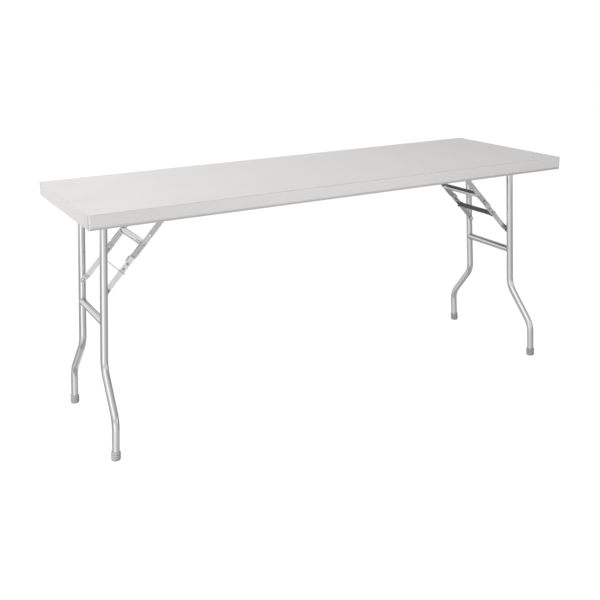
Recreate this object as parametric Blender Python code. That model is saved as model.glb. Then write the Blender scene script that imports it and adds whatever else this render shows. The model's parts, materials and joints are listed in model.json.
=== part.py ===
"""Folding worktable: a pressed sheet-metal top on two wishbone leg frames.

Units are metres, +Z is up, the floor is z = 0 and the origin is the floor
point under the middle of the top.  +X runs along the length, -Y is the
front.  Every shape of one end is drawn once, for the right-hand rear corner
(x > 0, y > 0), and mirrored to the other corners.
"""
import math

import bmesh
import bpy
from mathutils import Vector

# ----------------------------------------------------------------- top
TOP_LENGTH = 1.830
TOP_DEPTH = 0.610
TOP_HEIGHT = 0.825
APRON = 0.0465            # depth of the folded-down edge
SHEET = 0.0012            # sheet thickness of the top
TOP_EDGE_R = 0.0030       # press radius round the upper edge
HEM_R = 0.0062            # rolled radius along the bottom of the apron
CORNER_R = 0.0022         # vertical corners of the apron
RETURN_LIP = 0.0150       # lip turned in under the apron
GAP = 0.0003              # air left between pieces that touch

# ----------------------------------------------------------------- leg frames
LEG_R = 0.0125            # 25 mm tube
LEG_WALL = 0.0013
CROSS_R = 0.0110          # 22 mm tube of the knee bar
CROSS_WALL = 0.0012
SPLAY = math.atan(0.08206)         # each frame leans out towards its end
HINGE_X = 0.8186
HINGE_Z = 0.7970
LEG_Y = 0.1290            # half distance between the tubes at the top
FOOT_Y = 0.2525           # half distance between the tubes at the feet
BEND_TOP_Z = 0.2745       # where the two straight runs of the wishbone meet
BEND_LOW_Z = 0.1337
BEND_R = 0.085
STRETCHER_Z = 0.4284
HINGE_TUBE_HALF = 0.192
FOOT_R = 0.0158
FOOT_TOP = 0.0310         # height of the foot's upper rim over the floor

# ----------------------------------------------------------------- braces
BRACE_ANGLE = math.radians(46.5)   # slope of the straight brace
BRACE_LEG_Z = 0.5080      # pivot on the leg
BRACE_TOP_Z = 0.8010      # pivot under the top
FOLDED_KNEE_Z = 0.7960    # height of the knee once folded away
ARM_HALF = 0.0095         # arms are 19 mm flat bar
ARM_T = 0.0025
LOWER_Y = 0.1060          # inner face of the lower arm
UPPER_Y = 0.1109          # inner face of the upper arm
TAIL_S = 0.1660           # the upper arm runs on past the knee to here
JOG_S0, JOG_S1 = 0.0110, 0.0235    # the lower arm steps out to the leg between these
JOG = 0.0077              # height of that step
EAR_Y = 0.1137
EAR_T = 0.0020
LOCK_S0, LOCK_S1 = 0.1010, 0.1620  # release bar, measured from the leg pivot
LOCK_TRAVEL = 0.0120
RIVET_S = (0.1140, 0.1360)

# ----------------------------------------------------------------- under the top
SKIN_Z = TOP_HEIGHT - SHEET
RAIL_H = 0.0090           # depth of the channels under the skin
RAIL_Z1 = SKIN_Z - GAP
RAIL_Z0 = RAIL_Z1 - RAIL_H
RAIL_T = 0.0015

# ------------------------------------------------- derived brace geometry
cb, sb = math.cos(BRACE_ANGLE), math.sin(BRACE_ANGLE)
cs, ss = math.cos(SPLAY), math.sin(SPLAY)


def leg_w(z):
    """Distance down the leg from the hinge axis to height z."""
    return (HINGE_Z - z) / cs


PIVOT_X = HINGE_X + leg_w(BRACE_LEG_Z) * ss
BRACE_LEN = (BRACE_TOP_Z - BRACE_LEG_Z) / sb
ANCHOR_X = PIVOT_X - BRACE_LEN * cb


def knee_distance():
    """Length of the lower arm for which the folded knee lies at FOLDED_KNEE_Z."""
    a = leg_w(BRACE_LEG_Z)
    px, pz = HINGE_X - a, HINGE_Z
    lo, hi = 0.5 * BRACE_LEN, 0.5 * BRACE_LEN + 0.05
    for _ in range(60):
        m = 0.5 * (lo + hi)
        kx = px + math.sqrt(m * m - (FOLDED_KNEE_Z - pz) ** 2)
        if math.hypot(kx - ANCHOR_X, FOLDED_KNEE_Z - BRACE_TOP_Z) < BRACE_LEN - m:
            lo = m
        else:
            hi = m
    return 0.5 * (lo + hi)


KNEE_S = knee_distance()


def leg_map(u, y, w):
    """u out from the leg, w down the leg from the hinge axis."""
    return Vector((HINGE_X + u * cs + w * ss, y, HINGE_Z + u * ss - w * cs))


def arm_map(s, h, y):
    """s up the brace from the leg pivot, h square to it, away from the floor."""
    return Vector((PIVOT_X - s * cb + h * sb, y, BRACE_LEG_Z + s * sb + h * cb))


# ----------------------------------------------------------------- scene set-up
for old in list(bpy.data.objects):
    bpy.data.objects.remove(old, do_unlink=True)

scene_root = bpy.context.scene.collection


def material(name, colour, metallic, roughness):
    m = bpy.data.materials.new(name)
    m.use_nodes = True
    p = m.node_tree.nodes["Principled BSDF"]
    p.inputs["Base Color"].default_value = (*colour, 1.0)
    p.inputs["Metallic"].default_value = metallic
    p.inputs["Roughness"].default_value = roughness
    return m


FINISH = {
    "worktop_steel": ((0.80, 0.80, 0.79), 1.0, 0.38),
    "channel_steel": ((0.58, 0.59, 0.60), 1.0, 0.45),
    "tube_steel": ((0.70, 0.70, 0.70), 1.0, 0.28),
    "brace_zinc": ((0.62, 0.63, 0.63), 1.0, 0.40),
    "fastener_steel": ((0.42, 0.42, 0.43), 1.0, 0.35),
    "foot_plastic": ((0.40, 0.40, 0.41), 0.0, 0.55),
}


def empty(name, at, parent=None):
    e = bpy.data.objects.new(name, None)
    e.empty_display_size = 0.03
    scene_root.objects.link(e)
    if parent:
        e.parent = parent
        e.location = Vector(at) - world_at[parent.name]
    else:
        e.location = Vector(at)
    world_at[name] = Vector(at)
    return e


world_at = {}


def piece(name, bm, finish, parent, sx=1, sy=1, angle=35.0, cutter=False):
    """Turn a bmesh drawn in world space into a named object under its pivot."""
    base = world_at[parent.name]
    for v in bm.verts:
        v.co = Vector((v.co.x * sx, v.co.y * sy, v.co.z)) - base
    bmesh.ops.recalc_face_normals(bm, faces=bm.faces)
    me = bpy.data.meshes.new(name)
    bm.to_mesh(me)
    bm.free()
    me.shade_smooth()
    me.set_sharp_from_angle(angle=math.radians(angle))
    ob = bpy.data.objects.new(name, me)
    scene_root.objects.link(ob)
    ob.parent = parent
    if cutter:
        ob.hide_render = True
        ob.display_type = "WIRE"
    else:
        m = material(name, *FINISH[finish])
        me.materials.append(m)
    return ob


def boolean(ob, other, how):
    mod = ob.modifiers.new(how.lower() + "_" + other.name, "BOOLEAN")
    mod.operation = how
    mod.solver = "EXACT"
    mod.object = other
    return mod


# ----------------------------------------------------------------- shape tools
def prism(outline, holes, place, t0, t1, more=()):
    """Flat outline with holes, extruded from t0 to t1; place maps (a, b, t).

    more holds further (outline, holes) panels that share an edge with this one.
    """
    own = bmesh.new()
    for panel, cuts in [(outline, holes)] + list(more):
        edges = []
        for loop in [panel] + list(cuts):
            vs = [own.verts.new((a, b, 0.0)) for a, b in loop]
            edges += [own.edges.new((vs[i], vs[(i + 1) % len(vs)])) for i in range(len(vs))]
        bmesh.ops.triangle_fill(own, use_beauty=True, use_dissolve=False, edges=edges)
    bmesh.ops.remove_doubles(own, verts=own.verts, dist=1e-6)
    bmesh.ops.recalc_face_normals(own, faces=own.faces)
    faces = list(own.faces)
    ret = bmesh.ops.extrude_face_region(own, geom=faces)
    new = {g for g in ret["geom"] if isinstance(g, bmesh.types.BMVert)}
    for v in own.verts:
        v.co = place(v.co.x, v.co.y, t1 if v in new else t0)
    return own


def box(lo, hi, place=None):
    place = place or (lambda a, b, c: Vector((a, b, c)))
    bm = bmesh.new()
    vs = [bm.verts.new(place(x, y, z)) for x in (lo[0], hi[0])
          for y in (lo[1], hi[1]) for z in (lo[2], hi[2])]
    for f in ((0, 1, 3, 2), (4, 6, 7, 5), (0, 4, 5, 1), (2, 3, 7, 6), (0, 2, 6, 4), (1, 5, 7, 3)):
        bm.faces.new([vs[i] for i in f])
    return bm


def turned(profile, n, place):
    """Solid of revolution from (radius, t) points; place maps (a, b, t)."""
    bm = bmesh.new()
    rings = []
    for r, t in profile:
        if r < 1e-9:
            rings.append([bm.verts.new(place(0.0, 0.0, t))])
        else:
            rings.append([bm.verts.new(place(r * math.cos(2 * math.pi * i / n),
                                             r * math.sin(2 * math.pi * i / n), t))
                          for i in range(n)])
    for a, b in zip(rings, rings[1:]):
        for i in range(n):
            j = (i + 1) % n
            if len(a) == 1:
                bm.faces.new((a[0], b[i], b[j]))
            elif len(b) == 1:
                bm.faces.new((a[i], a[j], b[0]))
            else:
                bm.faces.new((a[i], a[j], b[j], b[i]))
    return bm


def swept_tube(rings_out, rings_in):
    """Hollow tube from matching outer and inner rings, open at both ends."""
    bm = bmesh.new()
    ro = [[bm.verts.new(p) for p in ring] for ring in rings_out]
    ri = [[bm.verts.new(p) for p in ring] for ring in rings_in]
    n = len(ro[0])
    for rings in (ro, ri):
        for a, b in zip(rings, rings[1:]):
            for i in range(n):
                j = (i + 1) % n
                bm.faces.new((a[i], a[j], b[j], b[i]))
    for k in (0, -1):
        for i in range(n):
            j = (i + 1) % n
            bm.faces.new((ro[k][i], ro[k][j], ri[k][j], ri[k][i]))
    return bm


def hat_profile(half, flange):
    """Section of a shallow hat channel, web down, as (across, z) points."""
    t = RAIL_T
    z0, z1 = RAIL_Z0, RAIL_Z1
    return [(-half - flange, z1), (-half + t, z1), (-half + t, z0 + t), (half - t, z0 + t),
            (half - t, z1), (half + flange, z1), (half + flange, z1 - t), (half, z1 - t),
            (half, z0), (-half, z0), (-half, z1 - t), (-half - flange, z1 - t)]


# =================================================================== top
top = empty("worktop_frame", (0.0, 0.0, 0.0))


def rounded_box(lx, ly, z0, z1, top_r, side_r, hem_r, seg):
    """Box with a pressed upper edge, softened corners and a rolled lower edge."""
    bm = box((-lx / 2, -ly / 2, z0), (lx / 2, ly / 2, z1))
    bm.edges.ensure_lookup_table()
    up = [e for e in bm.edges if all(v.co.z > z1 - 1e-6 for v in e.verts)]
    bmesh.ops.bevel(bm, geom=up, offset=top_r, segments=seg, profile=0.5,
                    affect="EDGES", clamp_overlap=True)
    low = [e for e in bm.edges if all(v.co.z < z0 + 1e-6 for v in e.verts)]
    bmesh.ops.bevel(bm, geom=low, offset=hem_r, segments=seg + 1, profile=0.5,
                    affect="EDGES", clamp_overlap=True)
    return bm


pan_z0 = TOP_HEIGHT - APRON
pan = piece("worktop_pan", rounded_box(TOP_LENGTH, TOP_DEPTH, pan_z0, TOP_HEIGHT,
                                       TOP_EDGE_R, CORNER_R, HEM_R, 3),
            "worktop_steel", top, angle=40.0)
hollow = piece("pan_hollow", rounded_box(TOP_LENGTH - 2 * SHEET, TOP_DEPTH - 2 * SHEET,
                                         pan_z0 + SHEET, TOP_HEIGHT - SHEET,
                                         TOP_EDGE_R - SHEET, CORNER_R, HEM_R - SHEET, 3),
               None, top, cutter=True)
mouth = piece("pan_mouth", box((-TOP_LENGTH / 2 + RETURN_LIP, -TOP_DEPTH / 2 + RETURN_LIP, pan_z0 - 0.01),
                               (TOP_LENGTH / 2 - RETURN_LIP, TOP_DEPTH / 2 - RETURN_LIP,
                                pan_z0 + 0.010)),
              None, top, cutter=True)
boolean(pan, hollow, "DIFFERENCE")
boolean(pan, mouth, "DIFFERENCE")

STIFF_Y = 0.170
for sy, word in ((-1, "front"), (1, "rear")):
    piece(word + "_stiffener",
          prism(hat_profile(0.020, 0.012), [],
                lambda a, b, t: Vector((t, STIFF_Y + a, b)), -0.520, 0.520),
          "channel_steel", top, 1, sy)

# =================================================================== ends
SIDES = ((-1, "left"), (1, "right"))
CORNERS = ((-1, "front"), (1, "rear"))


def leg_path():
    """Centre line of one tube as (y, w, tangent angle) in the leg frame."""
    w1, w2 = leg_w(BEND_TOP_Z), leg_w(BEND_LOW_Z)
    slope = math.atan2(FOOT_Y - LEG_Y, w2 - w1)      # from straight down
    tan_len = BEND_R * math.tan(slope / 2)
    pts = []
    steps = 6
    cy, cw = LEG_Y + BEND_R, w1 - tan_len
    for i in range(steps + 1):
        a = slope * i / steps
        pts.append((cy - BEND_R * math.cos(a), cw + BEND_R * math.sin(a), a))
    cy, cw = FOOT_Y - BEND_R, w2 + tan_len
    for i in range(steps + 1):
        a = slope * (1 - i / steps)
        pts.append((cy + BEND_R * math.cos(a), cw - BEND_R * math.sin(a), a))
    return pts


LEG_N = 16


def ring(y, w, a, r):
    """Ring of radius r square to a path that heads down and outwards by a."""
    out = []
    for i in range(LEG_N):
        t = 2 * math.pi * (i + 0.5) / LEG_N
        u, q = r * math.cos(t), r * math.sin(t)
        out.append(leg_map(u, y + q * math.cos(a), w - q * math.sin(a)))
    return out


def leg_tube():
    outer, inner = [], []
    for rings, r in ((outer, LEG_R), (inner, LEG_R - LEG_WALL)):
        head = []
        for i in range(LEG_N):                      # mouth cut to the hinge tube
            t = 2 * math.pi * (i + 0.5) / LEG_N
            u = r * math.cos(t)
            head.append(leg_map(u, LEG_Y + r * math.sin(t),
                                math.sqrt((LEG_R + GAP) ** 2 - u * u)))
        rings.append(head)
        rings.append(ring(LEG_Y, 0.030, 0.0, r))
        for y, w, a in leg_path():
            rings.append(ring(y, w, a, r))
        rings.append(ring(FOOT_Y, leg_w(0.0058), 0.0, r))
    return swept_tube(outer, inner)


def straight_tube(r, wall, half, place, cope=None):
    """Tube along Y; with cope its ends are cut to fit round the leg tubes."""
    n = 16
    outer, inner = [], []
    for rings, rr in ((outer, r), (inner, r - wall)):
        for end in (-1, 1):
            rg = []
            for i in range(n):
                t = 2 * math.pi * (i + 0.5) / n
                u, v = rr * math.cos(t), rr * math.sin(t)
                y = half if cope is None else LEG_Y - math.sqrt(cope * cope - u * u)
                rg.append(place(u, end * y, v))
            rings.append(rg)
    return swept_tube(outer, inner)


def foot_cap():
    """Ribbed plastic foot: a cup round the tube end, its base flat on the floor."""
    n = 20
    bore = LEG_R + GAP
    rim = leg_w(FOOT_TOP)
    bed = leg_w(0.0055)
    outer = [(bore, rim), (0.0143, rim), (0.0147, rim + 0.0012)]
    w = rim + 0.0012
    for _ in range(3):                               # three raised rings
        outer += [(0.0147, w + 0.0033), (FOOT_R, w + 0.0043), (FOOT_R, w + 0.0068),
                  (0.0147, w + 0.0078)]
        w += 0.0078
    bm = bmesh.new()

    def row(r, w):
        return [bm.verts.new(leg_map(r * math.cos(2 * math.pi * i / n),
                                     FOOT_Y + r * math.sin(2 * math.pi * i / n), w))
                for i in range(n)]

    def base(r):
        out = []
        for i in range(n):
            u = r * math.cos(2 * math.pi * i / n)
            y = FOOT_Y + r * math.sin(2 * math.pi * i / n)
            w = (HINGE_Z + u * ss) / cs                # meets the floor plane
            p = leg_map(u, y, w)
            out.append(bm.verts.new((p.x, p.y, 0.0)))
        return out

    rows = [[bm.verts.new(leg_map(0.0, FOOT_Y, bed))], row(bore, bed)]
    rows += [row(r, w) for r, w in outer if w < leg_w(0.004)]
    rows += [base(0.0150)]
    for a, b in zip(rows, rows[1:]):
        for i in range(n):
            j = (i + 1) % n
            if len(a) == 1:
                bm.faces.new((a[0], b[i], b[j]))
            else:
                bm.faces.new((a[i], a[j], b[j], b[i]))
    bm.faces.new(rows[-1])
    return bm


def along_y(x, z):
    """Turning axis along Y through (x, z)."""
    return lambda a, b, t: Vector((x + a, t, z + b))


def arm_end(s, r, toward, n=9):
    """Half round end of a flat arm at s, facing up (+1) or down (-1) the brace."""
    out = []
    for i in range(n + 1):
        a = -math.pi / 2 + math.pi * i / n
        if toward > 0:
            out.append((s + r * math.cos(a), r * math.sin(a)))
        else:
            out.append((s - r * math.cos(a), -r * math.sin(a)))
    return out


def hole(s, h, r, n=12):
    return [(s + r * math.cos(2 * math.pi * i / n), h + r * math.sin(2 * math.pi * i / n))
            for i in range(n)]


def slot(s0, s1, r, n=5):
    pts = []
    for i in range(n + 1):
        a = -math.pi / 2 + math.pi * i / n
        pts.append((s1 + r * math.cos(a), r * math.sin(a)))
    for i in range(n + 1):
        a = math.pi / 2 + math.pi * i / n
        pts.append((s0 + r * math.cos(a), r * math.sin(a)))
    return pts


def jog(s):
    """How far the lower arm stands out towards the leg at s."""
    return JOG * min(1.0, max(0.0, (JOG_S1 - s) / (JOG_S1 - JOG_S0)))


def lower_arm():
    """Flat bar with a wider head at the knee, stepped out to meet the leg."""
    h = ARM_HALF
    main = arm_end(KNEE_S, 0.0105, +1) + [(KNEE_S - 0.020, h), (JOG_S1, h), (JOG_S1, -h),
                                          (KNEE_S - 0.020, -h)]
    step = [(JOG_S0, -h), (JOG_S1, -h), (JOG_S1, h), (JOG_S0, h)]
    foot = [(JOG_S0, -h), (JOG_S0, h)] + arm_end(0.0, h, -1)
    return prism(main, [hole(s, 0.0, 0.0023, 10) for s in RIVET_S],
                 lambda a, b, t: arm_map(a, b, t + jog(a)), LOWER_Y, LOWER_Y + ARM_T,
                 more=[(step, []), (foot, [hole(0.0, 0.0, 0.0033)])])


def upper_arm():
    c = 0.003
    o = arm_end(BRACE_LEN, ARM_HALF, +1) + [
        (TAIL_S + c, ARM_HALF), (TAIL_S, ARM_HALF - c), (TAIL_S, -ARM_HALF + c),
        (TAIL_S + c, -ARM_HALF)]
    holes = [hole(BRACE_LEN, 0.0, 0.0033), hole(KNEE_S, 0.0, 0.0043),
             hole(0.2530, 0.0, 0.0030, 10), hole(0.1850, 0.0, 0.0030, 10)]
    return prism(o, holes, arm_map, UPPER_Y, UPPER_Y + ARM_T)


for sx, side in SIDES:
    hinge = empty(side + "_leg_hinge", (sx * HINGE_X, 0.0, HINGE_Z))
    pivot = empty(side + "_lower_brace_pivot", (sx * PIVOT_X, 0.0, BRACE_LEG_Z), hinge)
    anchor = empty(side + "_upper_brace_pivot", (sx * ANCHOR_X, 0.0, BRACE_TOP_Z), top)
    slide = empty(side + "_release_frame",
                  (sx * arm_map(LOCK_S0, 0, 0).x, 0.0, arm_map(LOCK_S0, 0, 0).z), pivot)

    # ---- fixed under the top
    piece(side + "_hinge_rail",
          prism(hat_profile(0.024, 0.013), [],
                lambda a, b, t: Vector((HINGE_X + a, t, b)), -0.225, 0.225),
          "channel_steel", top, sx, 1)
    piece(side + "_brace_rail",
          prism(hat_profile(0.016, 0.010), [],
                lambda a, b, t: Vector((ANCHOR_X + a, t, b)), -0.225, 0.225),
          "channel_steel", top, sx, 1)

    # ---- leg frame, shared by both tubes
    piece(side + "_hinge_tube",
          straight_tube(LEG_R, 0.0015, HINGE_TUBE_HALF, lambda u, y, v: leg_map(u, y, v)),
          "tube_steel", hinge, sx, 1)
    wst = leg_w(STRETCHER_Z)
    piece(side + "_stretcher",
          straight_tube(LEG_R, LEG_WALL, 0.0, lambda u, y, v: leg_map(u, y, wst + v),
                        cope=LEG_R + GAP),
          "tube_steel", hinge, sx, 1)
    piece(side + "_knee_bar",
          straight_tube(CROSS_R, CROSS_WALL, LOWER_Y - GAP,
                        lambda u, y, v: arm_map(KNEE_S + u, v, y)),
          "tube_steel", pivot, sx, 1)

    for sy, end in CORNERS:
        pre = side + "_" + end + "_"
        # saddle that holds the hinge tube up to its rail
        zf1 = RAIL_Z0 - GAP - HINGE_Z
        zf0 = zf1 - 0.0020
        ri, ro = LEG_R + GAP, LEG_R + GAP + 0.0020
        arc_i = [(ri * math.cos(math.pi + math.pi * i / 10), ri * math.sin(math.pi + math.pi * i / 10))
                 for i in range(11)]
        arc_o = [(ro * math.cos(-math.pi * i / 10), ro * math.sin(-math.pi * i / 10))
                 for i in range(11)]
        prof = ([(-0.033, zf1), (-ri, zf1)] + arc_i + [(ri, zf1), (0.033, zf1), (0.033, zf0), (ro, zf0)]
                + arc_o + [(-ro, zf0), (-0.033, zf0)])
        piece(pre + "hinge_saddle",
              prism(prof, [], lambda a, b, t: Vector((HINGE_X + a, t, HINGE_Z + b)), 0.160, 0.182),
              "channel_steel", top, sx, sy)

        # anchor: angle plate with a fixed stud that carries the upper arm
        r = 0.0105
        zt = RAIL_Z0 - GAP
        ear = [(-r, zt - BRACE_TOP_Z)] + \
              [(r * math.cos(math.pi + math.pi * i / 10), r * math.sin(math.pi + math.pi * i / 10))
               for i in range(11)] + [(r, zt - BRACE_TOP_Z)]
        ob = piece(pre + "brace_anchor",
                   prism(ear, [], lambda a, b, t: Vector((ANCHOR_X + a, t, BRACE_TOP_Z + b)),
                         EAR_Y, EAR_Y + EAR_T),
                   "channel_steel", top, sx, sy)
        fl = piece(pre + "anchor_flange_shape",
                   box((ANCHOR_X - 0.0155, EAR_Y, zt - 0.0018), (ANCHOR_X + 0.0155, 0.1480, zt)),
                   None, top, sx, sy, cutter=True)
        st = piece(pre + "anchor_stud_shape",
                   turned([(0, LOWER_Y + ARM_T + GAP), (0.0045, LOWER_Y + ARM_T + GAP),
                           (0.0055, LOWER_Y + ARM_T + GAP + 0.0006), (0.0055, UPPER_Y - GAP),
                           (0.0030, UPPER_Y - GAP), (0.0030, EAR_Y + 0.0010), (0, EAR_Y + 0.0010)],
                          14, along_y(ANCHOR_X, BRACE_TOP_Z)),
                   None, top, sx, sy, cutter=True)
        boolean(ob, fl, "UNION")
        boolean(ob, st, "UNION")

        # bent leg tube, its inner wall drilled for the brace rivet
        lg = piece(pre + "leg", leg_tube(), "tube_steel", hinge, sx, sy)
        drill = piece(pre + "leg_drill",
                      turned([(0, 0.100), (0.0033, 0.100), (0.0033, LEG_Y), (0, LEG_Y)], 12,
                             along_y(PIVOT_X, BRACE_LEG_Z)),
                      None, hinge, sx, sy, cutter=True)
        boolean(lg, drill, "DIFFERENCE")
        piece(pre + "foot", foot_cap(), "foot_plastic", hinge, sx, sy)

        yi = LOWER_Y + JOG - GAP
        yt = LEG_Y - LEG_R + LEG_WALL + 0.0014
        piece(pre + "leg_rivet",
              turned([(0, yi - 0.0028), (0.0034, yi - 0.0024), (0.0060, yi - 0.0012),
                      (0.0066, yi), (0.0030, yi), (0.0030, yt), (0.0046, yt), (0.0046, yt + 0.0010),
                      (0.0036, yt + 0.0022), (0, yt + 0.0026)], 14,
                     along_y(PIVOT_X, BRACE_LEG_Z)),
              "fastener_steel", hinge, sx, sy)

        # ---- braces
        piece(pre + "lower_arm", lower_arm(), "brace_zinc", pivot, sx, sy)
        piece(pre + "upper_arm", upper_arm(), "brace_zinc", anchor, sx, sy)
        km = arm_map(KNEE_S, 0, 0)
        yk = UPPER_Y + ARM_T + GAP
        piece(pre + "knee_rivet",
              turned([(0, LOWER_Y + ARM_T + GAP), (0.0040, LOWER_Y + ARM_T + GAP), (0.0040, yk),
                      (0.0075, yk), (0.0072, yk + 0.0010), (0.0050, yk + 0.0019),
                      (0, yk + 0.0022)], 16, along_y(km.x, km.z)),
              "fastener_steel", anchor, sx, sy)
        for k, s in enumerate(RIVET_S):
            c = arm_map(s, 0, 0)
            yi, yu = LOWER_Y - GAP - 0.0015 - GAP, LOWER_Y + ARM_T + GAP
            piece(pre + "guide_rivet_" + ("low", "high")[k],
                  turned([(0, yi - 0.0018), (0.0026, yi - 0.0016), (0.0042, yi), (0.0020, yi),
                          (0.0020, yu), (0.0042, yu), (0.0038, yu + 0.0010), (0, yu + 0.0015)],
                         12, along_y(c.x, c.z)),
                  "fastener_steel", pivot, sx, sy)

    # ---- release bar: strap across both lower arms with a slide plate at each end
    y_in, y_out = LOWER_Y - GAP, LOWER_Y + ARM_T + GAP
    half = y_out + 0.0015
    neck = y_in - 0.0060
    o = [(-half, -0.0130), (-neck, -0.0130), (-neck + 0.0040, -0.0105), (neck - 0.0040, -0.0105),
         (neck, -0.0130), (half, -0.0130), (half, 0.0120), (neck, 0.0120),
         (neck - 0.0040, 0.0095), (-neck + 0.0040, 0.0095), (-neck, 0.0120), (-half, 0.0120)]
    wins = [[(k * y_in, -0.0098), (k * y_out, -0.0098), (k * y_out, 0.0098), (k * y_in, 0.0098)]
            for k in (-1, 1)]
    bar = piece(side + "_release_bar",
                prism(o, wins, lambda a, b, t: arm_map(t, b, a), LOCK_S0, LOCK_S0 + 0.0020),
                "brace_zinc", slide, sx, 1)
    for k, end in CORNERS:
        outline = [(LOCK_S0 + 0.0010, -ARM_HALF), (LOCK_S1 - 0.003, -ARM_HALF),
                   (LOCK_S1, -ARM_HALF + 0.003), (LOCK_S1, 0.0098), (LOCK_S1 - 0.0030, 0.0128),
                   (LOCK_S1 - 0.0200, 0.0128), (LOCK_S1 - 0.0230, 0.0085), (LOCK_S0 + 0.0010, 0.0085)]
        slots = [slot(s, s + LOCK_TRAVEL, 0.0023) for s in RIVET_S]
        pl = piece(side + "_" + end + "_slide_plate_shape",
                   prism(outline, slots, arm_map, y_in - 0.0015, y_in),
                   None, slide, sx, k, cutter=True)
        lug = piece(side + "_" + end + "_lock_lug_shape",
                    box((LOCK_S1 - 0.0195, 0.0098, y_in - 0.0008),
                        (LOCK_S1 - 0.0030, 0.0124, LOWER_Y + ARM_T), arm_map),
                    None, slide, sx, k, cutter=True)
        boolean(bar, pl, "UNION")
        boolean(bar, lug, "UNION")
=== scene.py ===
import json
import math

import bmesh
import bpy
from mathutils import Matrix, Vector

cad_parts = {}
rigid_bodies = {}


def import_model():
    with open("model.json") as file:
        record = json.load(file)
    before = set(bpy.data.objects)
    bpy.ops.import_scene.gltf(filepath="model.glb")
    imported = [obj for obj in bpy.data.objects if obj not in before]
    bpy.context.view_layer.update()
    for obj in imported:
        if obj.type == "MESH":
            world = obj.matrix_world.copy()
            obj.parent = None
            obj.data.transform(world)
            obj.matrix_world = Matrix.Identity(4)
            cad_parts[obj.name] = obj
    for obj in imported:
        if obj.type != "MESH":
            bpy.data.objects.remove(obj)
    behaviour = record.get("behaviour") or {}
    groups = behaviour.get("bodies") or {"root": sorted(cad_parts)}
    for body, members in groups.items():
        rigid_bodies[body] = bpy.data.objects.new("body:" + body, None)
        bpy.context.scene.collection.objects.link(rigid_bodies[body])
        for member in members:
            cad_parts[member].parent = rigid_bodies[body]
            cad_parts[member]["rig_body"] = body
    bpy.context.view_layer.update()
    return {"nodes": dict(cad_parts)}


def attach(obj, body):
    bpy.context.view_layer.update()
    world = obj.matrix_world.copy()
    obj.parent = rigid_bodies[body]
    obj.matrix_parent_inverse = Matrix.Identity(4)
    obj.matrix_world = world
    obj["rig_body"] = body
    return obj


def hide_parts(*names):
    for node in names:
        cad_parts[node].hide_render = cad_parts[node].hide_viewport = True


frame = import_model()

# ===================================================================== sizes
# The same driving sizes as the frame, in metres.
TOP_LENGTH, TOP_DEPTH, TOP_HEIGHT = 1.830, 0.610, 0.825
APRON, SHEET, RETURN_LIP, GAP = 0.0465, 0.0012, 0.0150, 0.0003
EDGE_R = 0.0030           # pressed upper edge of the top
PLAN_R = 0.0068           # rounding of the top's vertical corners

LEG_R, LEG_WALL, CROSS_R, CROSS_WALL = 0.0125, 0.0013, 0.0110, 0.0012
SPLAY = math.atan(0.08206)
HINGE_X, HINGE_Z = 0.8186, 0.7970
LEG_Y, FOOT_Y = 0.1290, 0.2525
BEND_TOP_Z, BEND_LOW_Z, BEND_R = 0.2745, 0.1337, 0.085
STRETCHER_Z, HINGE_TUBE_HALF = 0.4284, 0.192
FOOT_R, FOOT_TOP = 0.0158, 0.0310

BRACE_ANGLE = math.radians(46.5)
BRACE_LEG_Z, BRACE_TOP_Z, FOLDED_KNEE_Z = 0.5080, 0.8010, 0.7960
ARM_HALF, ARM_T = 0.0095, 0.0025
LOWER_Y, UPPER_Y, TAIL_S = 0.1060, 0.1109, 0.1660
JOG_S0, JOG_S1, JOG = 0.0110, 0.0235, 0.0077
EAR_Y, EAR_T = 0.1137, 0.0020
LOCK_S0, LOCK_S1, LOCK_TRAVEL = 0.1010, 0.1620, 0.0120
RIVET_S = (0.1140, 0.1360)

SKIN_Z = TOP_HEIGHT - SHEET
RAIL_H, RAIL_T = 0.0090, 0.0015
RAIL_Z1 = SKIN_Z - GAP
RAIL_Z0 = RAIL_Z1 - RAIL_H
STIFF_Y = 0.170

cb, sb = math.cos(BRACE_ANGLE), math.sin(BRACE_ANGLE)
cs, ss = math.cos(SPLAY), math.sin(SPLAY)


def leg_w(z):
    return (HINGE_Z - z) / cs


PIVOT_X = HINGE_X + leg_w(BRACE_LEG_Z) * ss
STRETCHER_X = HINGE_X + leg_w(STRETCHER_Z) * ss
BRACE_LEN = (BRACE_TOP_Z - BRACE_LEG_Z) / sb
ANCHOR_X = PIVOT_X - BRACE_LEN * cb


def knee_distance():
    a = leg_w(BRACE_LEG_Z)
    px, pz = HINGE_X - a, HINGE_Z
    lo, hi = 0.5 * BRACE_LEN, 0.5 * BRACE_LEN + 0.05
    for _ in range(60):
        m = 0.5 * (lo + hi)
        kx = px + math.sqrt(m * m - (FOLDED_KNEE_Z - pz) ** 2)
        if math.hypot(kx - ANCHOR_X, FOLDED_KNEE_Z - BRACE_TOP_Z) < BRACE_LEN - m:
            lo = m
        else:
            hi = m
    return 0.5 * (lo + hi)


KNEE_S = knee_distance()


def leg_map(u, y, w):
    return Vector((HINGE_X + u * cs + w * ss, y, HINGE_Z + u * ss - w * cs))


def arm_map(s, h, y):
    return Vector((PIVOT_X - s * cb + h * sb, y, BRACE_LEG_Z + s * sb + h * cb))


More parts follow.
